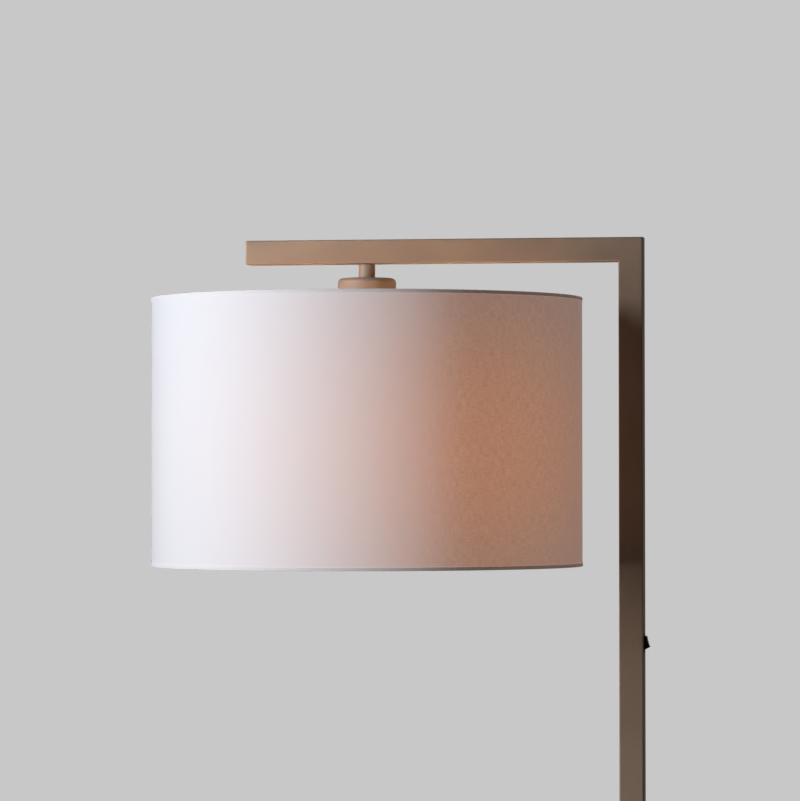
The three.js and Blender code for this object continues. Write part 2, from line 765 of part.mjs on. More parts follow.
/** Fluted ring that screws on the lampholder's body. */
function shadeRing(top) {
  const steps = shadeRingFlutes * 3;
  const shape = new THREE.Shape(Array.from({ length: steps }, (_, i) => {
    const angle = (i * 4 * quarter) / steps;
    const radius = shadeRingRadius + shadeRingFluteDepth * Math.cos(shadeRingFlutes * angle);
    return new THREE.Vector2(radius * Math.cos(angle), radius * Math.sin(angle));
  }));
  shape.holes.push(new THREE.Path().absarc(0, 0, holderRadius + gap, 0, 4 * quarter));
  return raised(shape, top - shadeRingThickness, top, medium / 2);
}

// ---- Shade, from the arm's underside down -----------------------------------------------------------

/** A wire ring round the shade's axis. */
function wireRing(height) {
  const section = arc(wireCentre, height, wireRadius, 0, 360, 6);
  return turned(section, fine);
}

/**
 * Fitter that carries the shade: a washer clamped between the two shade rings, and bent spokes that
 * run out level and then rise along the liner to the top wire ring.
 */
function shadeFitter() {
  const level = (fitterTop + fitterBottom) / 2;
  const washer = ring(fitterRadius, holderRadius + 2 * gap, fitterBottom, fitterTop);
  const spoke = wireAlong(
    [[fitterRadius - spokeRadius, 0, level], [wireCentre, 0, level], [wireCentre, 0, shadeTop - wireInset]],
    spokeRadius, spokeBendRadius);
  const spokes = Array.from({ length: spokeCount }, (_, i) =>
    spoke.rotate([0, 0, 90 + (360 / spokeCount) * i]));
  return join(washer, wireRing(shadeTop - wireInset), ...spokes);
}

/** A sheet rolled into the drum, between the two edges. */
const drumSheet = (outer, thickness) =>
  ring(outer, outer - thickness, shadeBottom + sheetInset, shadeTop - sheetInset, fine);

/** Edge tape folded over the fabric, the liner and the wire ring. Direction is 1 at the top, -1 below. */
function edgeTrim(edge, direction) {
  const outer = fabricRadius + gap + trimThickness;
  const inner = wireCentre - wireRadius - gap - trimThickness;
  const hem = edge - direction * trimHeight;
  const fold = edge - direction * trimThickness;
  return turned([
    [outer, hem], [outer, edge], [inner, edge], [inner, hem], [inner + trimThickness, hem],
    [inner + trimThickness, fold], [outer - trimThickness, fold], [outer - trimThickness, hem], [outer, hem],
  ], fine);
}

// ---- Bulb, from the arm's underside down ------------------------------------------------------------

const insulatorTop = bulbTop - bulbTipHeight - gap;
const bulbShellTop = insulatorTop - bulbInsulatorHeight - gap;
const bulbShellBottom = bulbTop - bulbNeckLength;
const globeCentre = bulbTop - bulbLength + bulbGlobeRadius;
const globeRise = THREE.MathUtils.radToDeg(Math.acos(bulbCollarRadius / bulbGlobeRadius));
const collarBottom = globeCentre + bulbGlobeRadius * Math.sin(THREE.MathUtils.degToRad(globeRise)) + gap;

const bulbContact = () => rod(bulbTipRadius, bulbTop - bulbTipHeight, bulbTop);

const bulbInsulator = () => turned([
  [0, insulatorTop], [bulbTipRadius, insulatorTop],
  [bulbShellRadius - bulbInsulatorHeight / 2, insulatorTop - bulbInsulatorHeight],
  [0, insulatorTop - bulbInsulatorHeight],
], coarse);

/** Screw shell of the bulb, coned at its upper end. */
function bulbShell() {
  const [inner, cone] = [bulbShellRadius - sheetBrass, bulbShellCone];
  const mouth = bulbShellRadius - bulbInsulatorHeight;
  return turned([
    [mouth, bulbShellTop], [bulbShellRadius - cone, bulbShellTop], [bulbShellRadius, bulbShellTop - cone],
    [bulbShellRadius, bulbShellBottom], [inner, bulbShellBottom], [inner, bulbShellTop - cone - sheetBrass],
    [inner - cone, bulbShellTop - sheetBrass], [mouth, bulbShellTop - sheetBrass], [mouth, bulbShellTop],
  ]);
}

/** Tapered collar between the screw shell and the globe, with a neck inside the shell. */
function bulbCollar() {
  const [neck, top] = [bulbShellRadius - sheetBrass - gap, bulbShellBottom - gap];
  const neckTop = bulbShellTop - 2 * sheetBrass - 2 * gap;
  const flare = new THREE.CubicBezierCurve(
    new THREE.Vector2(bulbShellRadius, top),
    new THREE.Vector2(bulbShellRadius + collarFlareBulge, top - bulbNeckLength / 2),
    new THREE.Vector2(bulbCollarRadius, collarBottom + bulbNeckLength / 2),
    new THREE.Vector2(bulbCollarRadius, collarBottom + bulbCollarLip));
  return turned([
    [0, neckTop], [neck - collarNeckChamfer, neckTop],
    [neck, neckTop - collarNeckChamfer], [neck, top],
    ...flare.getPoints(glassSteps).map((point) => [point.x, point.y]),
    [bulbCollarRadius, collarBottom], [0, collarBottom],
  ]);
}

/** Opal globe, open upwards where the collar closes it. */
const bulbGlobe = () => turned([
  ...arc(0, globeCentre, bulbGlobeRadius, globeRise, -90, glassSteps),
  ...arc(0, globeCentre, bulbGlobeRadius - bulbGlassWall, -90, globeRise, glassSteps),
  ...arc(0, globeCentre, bulbGlobeRadius, globeRise, globeRise, 1).slice(0, 1),
]);

// ---- Rocker switch, from the post's face: X outwards, Z up ------------------------------------------

const wellDepth = switchBodyDepth - switchFloor;
const bladeSpots = [-feedBladeOffset, 0];

/** Moulded housing: bevelled bezel, body with a latch at each end, and the well for the rocker. */
function switchHousing() {
  const outline = roundedRect(bezelWidth, bezelHeight, bezelCornerRadius);
  const bezel = facingX(raisedRounded(outline, gap, bezelProud, bezelBevel));
  const body = facingX(raised(
    roundedRect(switchBodyWidth, switchBodyHeight, 0.5), -switchBodyDepth, gap + bezelBevel / 2));
  const latchTop = -tubeWall - gap;
  const latch = acrossY(new THREE.Shape([
    new THREE.Vector2(latchTop, 0), new THREE.Vector2(latchTop, switchBodyHeight / 2 + 1),
    new THREE.Vector2(latchTop - latchLength, switchBodyHeight / 2),
    new THREE.Vector2(latchTop - latchLength, 0),
  ]), switchBodyWidth / 2);
  const shell = join(bezel, body, latch, latch.mirror([0, 0, 1]));
  const well = facingX(raised(roundedRect(wellWidth, wellHeight, 0.5), -wellDepth, bezelProud + gap));
  const pivotHole = rod(pivotRadius + runningFit, -switchBodyWidth, switchBodyWidth)
    .rotate([90, 0, 0])
    .translate([-pivotDepth, 0, 0]);
  const slot = box(
    [-switchBodyDepth - gap, -bladeWidth / 2 - gap, -bladeThickness / 2 - gap],
    [-wellDepth + gap, bladeWidth / 2 + gap, bladeThickness / 2 + gap]);
  return cut(shell, well, pivotHole, ...bladeSpots.map((z) => slot.translate([0, 0, z])));
}

/** Turns a solid from the rocker's level position to rest on its stop, about the pivot. */
const onStop = (solid) => solid.rotate([0, -rockerTilt, 0]).translate([-pivotDepth, 0, 0]);

const boreEnd = 3; // pivot to the end of the plunger's bore
const springTop = boreEnd - gap;
const plungerHead = springTop - springLength - gap;
const plungerTip = pivotDepth - bridgeDepth + bladeThickness / 2 + gap;
const guideRadius = 2 * plungerRadius;

/** Rocker with a dished face between two tips, stub pivots and a guide for the plunger. */
function switchRocker() {
  const shape = new THREE.Shape();
  const outer = THREE.MathUtils.degToRad(70);
  const inner = quarter + Math.asin(rockerDepth / rockerRadius);
  const guideEnd = -rockerDepth - plungerRadius;
  const [flankX, flankZ] = [rockerTipHeight / 2, rockerTipReach * 1.04];
  shape.moveTo(rockerTipHeight, rockerTipReach);
  shape.quadraticCurveTo(flankX, flankZ, rockerRadius * Math.cos(outer), rockerRadius * Math.sin(outer));
  shape.absarc(0, 0, rockerRadius, outer, inner);
  shape.lineTo(-rockerDepth, guideRadius);
  shape.lineTo(guideEnd, guideRadius);
  shape.lineTo(guideEnd, -guideRadius);
  shape.lineTo(-rockerDepth, -guideRadius);
  shape.absarc(0, 0, rockerRadius, -inner, -outer);
  shape.quadraticCurveTo(flankX, -flankZ, rockerTipHeight, -rockerTipReach);
  shape.quadraticCurveTo(2 * rockerValley - rockerTipHeight, 0, rockerTipHeight, rockerTipReach);
  const width = wellWidth - 2 * gap;
  const pivot = rod(pivotRadius, -width / 2 - pivotLength, width / 2 + pivotLength).rotate([90, 0, 0]);
  const bore = facingX(rod(plungerRadius + gap, 2 * guideEnd, boreEnd));
  return onStop(cut(join(acrossY(shape, width, 5), pivot), bore));
}

/** Round-nosed plunger that slides in the rocker. */
const switchPlunger = () => onStop(facingX(turned([
  ...arc(0, plungerTip + plungerRadius, plungerRadius, -90, 0, 3),
  [plungerRadius, plungerHead], [0, plungerHead],
], 12)));

/** Coil spring between the rocker's bore end and the plunger. */
function switchSpring() {
  const coil = plungerRadius - springWire;
  const rise = springLength - 2 * springWire;
  class Helix extends THREE.Curve {
    getPoint(t, target = new THREE.Vector3()) {
      const angle = t * springTurns * 4 * quarter;
      return target.set(coil * Math.cos(angle), coil * Math.sin(angle), springTop - springWire - t * rise);
    }
  }
  const section = new THREE.Shape().absarc(0, 0, springWire, 0, 4 * quarter);
  const options = { steps: springTurns * 9, extrudePath: new Helix(), curveSegments: 3 };
  return onStop(facingX(solidOf(new THREE.ExtrudeGeometry(section, options))));
}

/** Rocking contact, level about its own fulcrum, turned to the closed position. */
function switchBridge() {
  const leaf = stripProfile([[0, -bridgeLength / 2], [0, bridgeLength / 2]], bladeThickness);
  return acrossY(leaf, bridgeWidth).rotate([0, bridgeTilt, 0]).translate([-bridgeDepth, 0, 0]);
}

/** Blade terminal through the housing's floor. Its inner end stops short of the rocking contact. */
function switchBlade(height) {
  const swing = Math.sin(THREE.MathUtils.degToRad(bridgeTilt)) * (Math.abs(height) + bladeThickness);
  const innerEnd = -bridgeDepth - bladeThickness / 2 - gap - swing;
  const blade = box(
    [-switchBodyDepth - bladeTail, -bladeWidth / 2, height - bladeThickness / 2],
    [innerEnd, bladeWidth / 2, height + bladeThickness / 2]);
  const eye = rod(bladeThickness, height - bladeThickness, height + bladeThickness, 8);
  return cut(blade, eye.translate([-switchBodyDepth - bladeTail + 2 * bladeThickness, 0, 0]));
}

// ---- Leads, measured from the post axis -------------------------------------------------------------

const leadFloor = plateTop + leadRadius + 2 * gap; // leads run under the foot nut
const leadLift = lampHeight - half + leadBend; // leads run over the nut inside the arm
const leadX = half - switchBodyDepth - bladeTail / 2; // behind the switch
const besideSwitch = (boreHalf + switchBodyWidth / 2) / 2;
const clearOfSwitch = 3 * switchBodyHeight;
const leadEnd = armUnderside + coreTop + gap;
const wireSpread = armUnderside + holderCapBottom + leadBend;

/** From a pole of the terminal block to the foot nipple's bore, at the lead's side of it. */
const fromBlock = (pole, side) => [
  [poleX(pole) - postX, blockSouth - gap, blockBoreZ],
  [poleX(pole) - postX, blockSouth - 2 * leadBend, blockBoreZ],
  [poleX(pole) - postX, blockSouth - 3 * leadBend, leadFloor],
  [poleX(pole) - postX, side, leadFloor],
  [0, side, leadFloor],
];

/** From the post, along the arm and down the stem to the lampholder's core. */
const alongArm = (side) => [
  [0, side, leadLift],
  [-shadeReach, side, leadLift],
  [-shadeReach, side, wireSpread],
  [-shadeReach, Math.sign(side) * coreWireOffset, coreWireDrop],
  [-shadeReach, Math.sign(side) * coreWireOffset, leadEnd],
];
const coreWireDrop = leadEnd + leadBend / 2;

const liveFeed = () => wireAlong([
  ...fromBlock(2, leadSpread),
  [0, leadSpread, switchZ - 2 * clearOfSwitch],
  [leadX, 0, switchZ - clearOfSwitch],
  [leadX, 0, switchZ - feedBladeOffset - bladeThickness / 2 - gap],
], leadRadius, leadBend);

const liveSwitched = () => wireAlong([
  [leadX, 0, switchZ + bladeThickness / 2 + gap],
  [leadX, 0, switchZ + clearOfSwitch],
  [0, leadSpread, switchZ + 2 * clearOfSwitch],
  ...alongArm(leadSpread),
], leadRadius, leadBend);

const neutral = () => wireAlong([
  ...fromBlock(1, -leadSpread),
  [0, -leadSpread, switchZ - 2 * clearOfSwitch],
  [0, -besideSwitch, switchZ - clearOfSwitch],
  [0, -besideSwitch, switchZ + clearOfSwitch],
  [0, -leadSpread, switchZ + 2 * clearOfSwitch],
  ...alongArm(-leadSpread),
], leadRadius, leadBend);

/** From the third pole to the earth screw's washer. */
const earth = () => wireAlong([
  [poleX(0) - postX, blockSouth - gap, blockBoreZ],
  [poleX(0) - postX, blockSouth - 2 * leadBend, blockBoreZ],
  [earthX - postX, earthY + screwHeadRadius + 3 * leadBend, blockBoreZ],
  [earthX - postX, earthY + screwHeadRadius + gap, blockBoreZ],
], leadRadius, leadBend);

// ---- The lamp ----------------------------------------------------------------------------------

const lamp = new THREE.Group();

lamp.add(
  piece('base_pad', blackFoam, basePad()),
  piece('base_plate', zinc, basePlate()),
  piece('base_weight', castIron, baseWeight()),
  piece('base_cover', bronze, baseCover()),
  piece('terminal_block', whitePlastic, terminalBlock()),
  placed([earthX, earthY, 0], piece('earth_screw', brass, earthScrew())),
  placed([baseSide / 2, inletOffset, inletZ], piece('cable_bush', blackPlastic, cableBush())),
);
screwSpots.forEach(([x, y], i) => {
  lamp.add(placed([x, y, 0], piece(`plate_screw_${i + 1}`, zinc, plateScrew())));
});

lamp.add(placed([postX, 0, 0],
  piece('foot_washer', zinc, ring(
    washerRadius, nippleRadius + gap, chamberCeiling - gap - washerThickness, chamberCeiling - gap)),
  piece('foot_nut', zinc, hexNut(nutFlats, nippleRadius + gap, footNutTop - nutThickness, footNutTop)),
  piece('foot_nipple', zinc, ring(
    nippleRadius, nippleBore, footNutTop - nutThickness - nippleSpare, footTop + nippleSpare, coarse)),
  piece('foot_plug', zinc, footPlug()),
  piece('lower_post', bronze, lowerPost()),
  piece('post_joiner', zinc, postJoiner()),
  placed([0, 0, jointHeight - joinerScrewOffset], piece('joiner_screw_lower', zinc, grubScrew())),
  placed([0, 0, jointHeight + joinerScrewOffset], piece('joiner_screw_upper', zinc, grubScrew())),
  piece('arm_frame', bronze, armFrame()),
  placed([-shadeReach - armOverhang, 0, lampHeight - half], piece('arm_end_plug', bronze, armEndPlug())),
  piece('lead_live_feed', brownSheath, liveFeed()),
  piece('lead_live_switched', brownSheath, liveSwitched()),
  piece('lead_neutral', blueSheath, neutral()),
  piece('lead_earth', greenSheath, earth()),
));

lamp.add(placed([postX - shadeReach, 0, armUnderside],
  piece('arm_washer', zinc, ring(
    washerRadius, nippleRadius + gap, tubeWall + gap, tubeWall + gap + washerThickness)),
  piece('arm_nut', zinc, hexNut(nutFlats, nippleRadius + gap, armNutTop - nutThickness, armNutTop)),
  piece('stem_sleeve', bronze, ring(stemRadius, nippleRadius + gap, cupTop + gap, -gap)),
  piece('stem_nipple', zinc, ring(
    nippleRadius, nippleBore, stemNippleBottom, armNutTop + nippleSpare, coarse)),
  piece('holder_cup', bronze, holderCup()),
  piece('cup_nut', zinc, hexNut(nutFlats, nippleRadius + gap, cupNutTop - nutThickness, cupNutTop)),
  piece('holder_cap', blackPlastic, holderCap()),
  piece('holder_body', blackPlastic, holderBody()),
  piece('holder_core', whitePlastic, holderCore()),
  piece('holder_shell', brass, holderShell()),
  piece('holder_contact', brass, holderContact()),
  piece('shade_ring_upper', blackPlastic, shadeRing(upperRingTop)),
  piece('shade_ring_lower', blackPlastic, shadeRing(lowerRingTop)),
  piece('shade_fitter', whiteEnamel, shadeFitter()),
  piece('shade_bottom_ring', whiteEnamel, wireRing(shadeBottom + wireInset)),
  piece('shade_liner', linerFilm, drumSheet(linerRadius, linerThickness)),
  piece('shade_fabric', cotton, drumSheet(fabricRadius, fabricThickness)),
  piece('shade_top_trim', cotton, edgeTrim(shadeTop, 1)),
  piece('shade_bottom_trim', cotton, edgeTrim(shadeBottom, -1)),
  piece('bulb_contact', zinc, bulbContact()),
  piece('bulb_insulator', blackPlastic, bulbInsulator()),
  piece('bulb_shell', zinc, bulbShell()),
  piece('bulb_collar', whitePlastic, bulbCollar()),
  piece('bulb_globe', opalGlass, bulbGlobe()),
));

lamp.add(placed([postX + half, 0, switchZ],
  piece('switch_housing', blackPlastic, switchHousing()),
  piece('switch_rocker', blackPlastic, switchRocker()),
  piece('switch_plunger', brass, switchPlunger()),
  piece('switch_spring', zinc, switchSpring()),
  piece('switch_bridge', brass, switchBridge()),
  piece('switch_feed_blade', brass, switchBlade(bladeSpots[0])),
  piece('switch_load_blade', brass, switchBlade(bladeSpots[1])),
));

export default lamp;
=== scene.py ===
"""Arm floor lamp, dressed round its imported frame.

Metres, +Z up. The origin is the centre of the base's underside, the post stands towards +X, the
arm runs level towards -X and the front is -Y.
"""

import json
import logging
import math
from collections.abc import Callable, Iterator, Sequence
from contextlib import contextmanager
from dataclasses import dataclass, field
from enum import Enum
from itertools import pairwise

import bmesh
import bpy
from mathutils import Euler, Matrix, Vector


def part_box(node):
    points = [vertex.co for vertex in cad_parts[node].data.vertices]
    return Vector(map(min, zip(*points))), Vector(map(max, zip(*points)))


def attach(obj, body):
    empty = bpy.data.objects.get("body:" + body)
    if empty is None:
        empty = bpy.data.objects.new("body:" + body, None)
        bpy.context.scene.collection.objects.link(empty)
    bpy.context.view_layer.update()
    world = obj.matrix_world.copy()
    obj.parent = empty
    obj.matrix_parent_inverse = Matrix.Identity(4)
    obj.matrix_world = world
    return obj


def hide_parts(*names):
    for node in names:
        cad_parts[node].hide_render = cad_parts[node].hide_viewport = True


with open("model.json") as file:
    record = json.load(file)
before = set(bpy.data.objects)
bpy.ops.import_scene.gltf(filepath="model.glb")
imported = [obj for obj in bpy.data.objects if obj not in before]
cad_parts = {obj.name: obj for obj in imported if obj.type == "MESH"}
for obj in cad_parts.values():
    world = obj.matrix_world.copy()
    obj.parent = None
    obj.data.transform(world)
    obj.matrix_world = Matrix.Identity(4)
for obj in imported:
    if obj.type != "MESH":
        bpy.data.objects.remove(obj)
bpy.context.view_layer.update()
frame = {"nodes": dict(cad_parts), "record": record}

Object = bpy.types.Object
Material = bpy.types.Material
Socket = bpy.types.NodeSocket
Colour = tuple[float, float, float]
Point = tuple[float, float]
Corner = tuple[float, float, float]

log = logging.getLogger("floor_lamp")

MM = 0.001
UP = Vector((0, 0, 1))
EAST = Vector((1, 0, 0))
NORTH = Vector((0, 1, 0))
FACING_EAST = Euler((0, math.pi / 2, 0))
FACING_WEST = Euler((0, -math.pi / 2, 0))
FACING_FRONT = Euler((math.pi / 2, 0, 0))


class Part(Enum):
    """What a selection in edit mode is made of."""

    VERTEX = "VERT"
    EDGE = "EDGE"
    FACE = "FACE"


class Carving(Enum):
    """What a tool does to a piece."""

    CUT = "DIFFERENCE"
    WELD = "UNION"


class Body(Enum):
    """The bodies that new pieces ride on."""

    STAND = "stand"
    ROCKER = "rocker"


class Texture(Enum):
    """How the fine relief of a surface runs."""

    EVEN = "even"
    DRAWN = "drawn"
    TURNED = "turned"
    WOVEN = "woven"


class Solid:
    """The box round one solid of the frame, at rest."""

    def __init__(self, node: str) -> None:
        """Measures a solid.

        Args:
            node: Its name.
        """
        self.low, self.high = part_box(node)
        self.middle = (self.low + self.high) / 2
        self.width, self.depth, self.height = (high - low for low, high in zip(self.low, self.high))
        self.radius = self.depth / 2


def shade_axis() -> Vector:
    """The foot of the shade's axis, on the floor."""
    return Vector((Solid("stem_sleeve").middle.x, 0, 0))


def eased(corners: Sequence[Corner], steps: int = 4) -> list[Point]:
    """Rounds the corners of a closed outline.

    Args:
        corners: Each corner's two coordinates and the radius that rounds it, or 0.
        steps: Facets round each rounded corner.

    Returns:
        The outline's points, ending where it starts.
    """
    points: list[Point] = []
    for i, (x, y, radius) in enumerate(corners):
        here = Vector((x, y))
        if not radius:
            points.append((x, y))
            continue
        back = (Vector(corners[i - 1][:2]) - here).normalized()
        ahead = (Vector(corners[(i + 1) % len(corners)][:2]) - here).normalized()
        half = back.angle(ahead) / 2
        centre = here + (back + ahead).normalized() * radius / math.sin(half)
        first = here + back * radius / math.tan(half) - centre
        last = here + ahead * radius / math.tan(half) - centre
        start = math.atan2(first.y, first.x)
        swing = (math.atan2(last.y, last.x) - start + math.pi) % math.tau - math.pi
        for step in range(steps + 1):
            angle = start + swing * step / steps
            points.append((centre.x + radius * math.cos(angle), centre.y + radius * math.sin(angle)))
    return points + points[:1]


class Bench:
    """Modelling moves that the sub-assemblies share, each on one piece with the rest deselected.

    Points closer than the weld are one point, and a face looks the same way as a direction when
    the dot product of the two is over same_way.
    """

    weld = 1e-6
    same_way = 0.99
    smooth_angle = math.radians(32)
    face_weight = 100
    corner_steps = 6
    rod_sides = 24

    def clear(self) -> None:
        """Leaves edit mode and deselects everything."""
        active = bpy.context.view_layer.objects.active
        if active and active.mode != "OBJECT":
            bpy.ops.object.mode_set(mode="OBJECT")
        bpy.ops.object.select_all(action="DESELECT")

    def take(self, piece: Object) -> None:
        """Makes a piece the active one and the only one selected.

        Args:
            piece: The piece.
        """
        self.clear()
        piece.select_set(True)
        bpy.context.view_layer.objects.active = piece

    def named(self, name: str) -> Object:
        """Names the primitive that was just added, and puts its place into its mesh.

        Args:
            name: Its new name.

        Returns:
            The primitive's object.
        """
        piece = bpy.context.object
        piece.name = piece.data.name = name
        bpy.ops.object.transform_apply(location=True, rotation=True, scale=True)
        return piece

    @contextmanager
    def editing(self, piece: Object) -> Iterator[None]:
        """Opens a piece in edit mode with all of it selected, and closes it again.

        Args:
            piece: The piece.
        """
        self.take(piece)
        bpy.ops.object.mode_set(mode="EDIT")
        bpy.ops.mesh.select_mode(type=Part.VERTEX.value)
        bpy.ops.mesh.select_all(action="SELECT")
        yield
        bpy.ops.object.mode_set(mode="OBJECT")

    def pick(self, part: Part, test: Callable[[object], bool]) -> None:
        """Selects what passes a test in the piece being edited, and nothing else.

        Args:
            part: Whether vertices, edges or faces are tested.
            test: Says whether one of them is wanted.
        """
        mesh = bpy.context.object.data
        bpy.ops.mesh.select_mode(type=part.value)
        bpy.ops.mesh.select_all(action="DESELECT")
        shape = bmesh.from_edit_mesh(mesh)
        parts = {Part.VERTEX: shape.verts, Part.EDGE: shape.edges, Part.FACE: shape.faces}[part]
        for found in [item for item in parts if test(item)]:
            found.select_set(True)
        shape.select_flush_mode()
        bmesh.update_edit_mesh(mesh)

    def pull(self, reach: Vector) -> None:
        """Extrudes what is selected."""
        bpy.ops.mesh.extrude_region_move(TRANSFORM_OT_translate={"value": tuple(reach)})

    def saw(self, place: Corner, way: Corner) -> None:
        """Cuts off what lies past a plane in the piece being edited, and closes the cut."""
        bpy.ops.mesh.select_all(action="SELECT")
        bpy.ops.mesh.bisect(plane_co=place, plane_no=way, clear_outer=True, use_fill=True)

    def settle(self) -> None:
        """Merges doubles in the piece being edited and turns its faces outwards."""
        bpy.ops.mesh.select_all(action="SELECT")
        bpy.ops.mesh.remove_doubles(threshold=self.weld)
        bpy.ops.mesh.normals_make_consistent(inside=False)

    def round_rim(self, piece: Object, way: Vector, height: float, size: float, steps: int) -> None:
        """Rounds the edges of a piece that lie in one plane.

        Args:
            piece: The piece.
            way: The direction that the plane is square to.
            height: How far along that direction the plane is.
            size: The width of the rounding.
            steps: Facets across it.
        """
        with self.editing(piece):
            self.pick(Part.EDGE, lambda edge: all(
                abs(vertex.co.dot(way) - height) < self.weld for vertex in edge.verts))
            bpy.ops.mesh.bevel(offset=size, segments=steps)

    def plate(
        self, name: str, size: Point, corner: float, place: Vector, turn: Euler = Euler()
    ) -> Object:
        """A flat plate with round corners.

        Args:
            name: The piece's name.
            size: Its length along its own X and Y.
            corner: The radius of its corners.
            place: Its middle.
            turn: How it is turned from lying flat.

        Returns:
            The plate, one face thick.
        """
        self.clear()
        bpy.ops.mesh.primitive_plane_add(size=1, location=place, rotation=turn)
        bpy.context.object.scale = (*size, 1)
        piece = self.named(name)
        with self.editing(piece):
            bpy.ops.mesh.bevel(offset=corner, segments=self.corner_steps, affect="VERTICES")
        return piece

    def block(
        self, name: str, size: Point, corner: float, place: Vector, reach: Vector, turn: Euler = Euler()
    ) -> Object:
        """A plate extruded into a solid block.

        Args:
            name: The piece's name.
            size: The plate's length along its own X and Y.
            corner: The radius of its corners.
            place: The plate's middle.
            reach: How far it is extruded.
            turn: How the plate is turned from lying flat.

        Returns:
            The block.
        """
        piece = self.plate(name, size, corner, place, turn)
        with self.editing(piece):
            self.pull(reach)
            self.settle()
        return piece

    def chain(self, name: str, places: Sequence[Vector]) -> Object:
        """A chain of edges.

        Args:
            name: The piece's name.
            places: The places that it runs through.

        Returns:
            The chain, without faces.
        """
        self.clear()
        bpy.ops.mesh.primitive_plane_add(size=MM)
        piece = self.named(name)
        with self.editing(piece):
            bpy.ops.mesh.merge(type="CENTER")
            bpy.ops.transform.translate(value=places[0])
            for here, there in pairwise(places):
                bpy.ops.mesh.extrude_vertices_move(TRANSFORM_OT_translate={"value": tuple(there - here)})
        return piece

    def turned(
        self, name: str, profile: Sequence[Point], centre: Vector, steps: int = 64, axis: Vector = UP
    ) -> Object:
        """Turns a chain of points round an axis.

        Args:
            name: The piece's name.
            profile: The chain, as radius and height in metres. It closes on itself or on the axis.
            centre: Where the axis stands, and the height that the profile's heights start from.
            steps: Facets round the full turn.
            axis: The direction of the axis.

        Returns:
            The turned solid.
        """
        out = EAST if axis == UP else UP
        piece = self.chain(name, [centre + out * radius + axis * height for radius, height in profile])
        with self.editing(piece):
            bpy.ops.mesh.spin(steps=steps, angle=math.tau, center=centre, axis=axis)
            self.settle()
        return piece

    def rod(self, name: str, radius: float, start: Vector, reach: Vector) -> Object:
        """A plain round bar for cutting holes.

        Args:
            name: The bar's name.
            radius: Its radius.
            start: The middle of its first end.
            reach: The way from there to the middle of its other end.

        Returns:
            The bar.
        """
        self.clear()
        turn = UP.rotation_difference(reach).to_euler()
        bpy.ops.mesh.primitive_cylinder_add(
            vertices=self.rod_sides, radius=radius, depth=reach.length, location=start + reach / 2,
            rotation=turn,
        )
        return self.named(name)

    def modify(self, piece: Object, kind: str, **settings: object) -> None:
        """Applies one modifier to a piece.

        Args:
            piece: The piece.
            kind: The modifier's type.
            settings: The modifier's own settings.
        """
        self.take(piece)
        modifier = piece.modifiers.new(kind, kind)
        for key, value in settings.items():
            setattr(modifier, key, value)
        bpy.ops.object.modifier_apply(modifier=modifier.name)

    def carve(self, piece: Object, *tools: Object, carving: Carving = Carving.CUT) -> None:
        """Cuts tools out of a piece, or welds them to it, and throws them away.

        Args:
            piece: The piece.
            tools: The tools, in the order of their use.
            carving: Whether they cut or weld.
        """
        for tool in tools:
            self.modify(piece, "BOOLEAN", object=tool, operation=carving.value, solver="EXACT")
            bpy.data.objects.remove(tool)

    def smooth(self, piece: Object, weighted: bool = False) -> Object:
        """Shades a piece smooth up to the smoothing angle.

        Args:
            piece: The piece.
            weighted: Whether its large faces stay flat.

        Returns:
            The same piece.
        """
        self.take(piece)
        bpy.ops.object.shade_smooth_by_angle(angle=self.smooth_angle)
        if weighted:
            self.modify(piece, "WEIGHTED_NORMAL", keep_sharp=True, weight=self.face_weight)
        return piece


@dataclass(frozen=True)
class Finish:
    """A finish of one material slot.

    Colours are linear. The wander is the share by which the colour and roughness vary, the relief
    is how deep the fine texture is in metres, and the grain is its size in metres, which on cloth
    is the distance from thread to thread. The glow is the colour that a lit surface gives off, and
    power how strongly. On cloth the glow and through are painted light, emission painted in place of
    light passing through the cloth: the glow is the bulb's light at its brightest, in a painted
    patch, through is what is painted away from there, and thick is the share by which thick threads
    hold it back. The name tells two finishes of one slot apart.
    """

    slot: str
    colour: Colour
    roughness: float
    metallic: float = 0.0
    wander: float = 0.06
    grain: float = 0.8 * MM
    relief: float = 0.02 * MM
    texture: Texture = Texture.EVEN
    worn: Colour | None = None
    wear_width: float = 0.5 * MM
    sheen: float = 0.0
    coat: float = 0.0
    glow: Colour | None = None
    power: float = 1.0
    through: Colour | None = None
    thick: float = 0.0
    name: str = ""


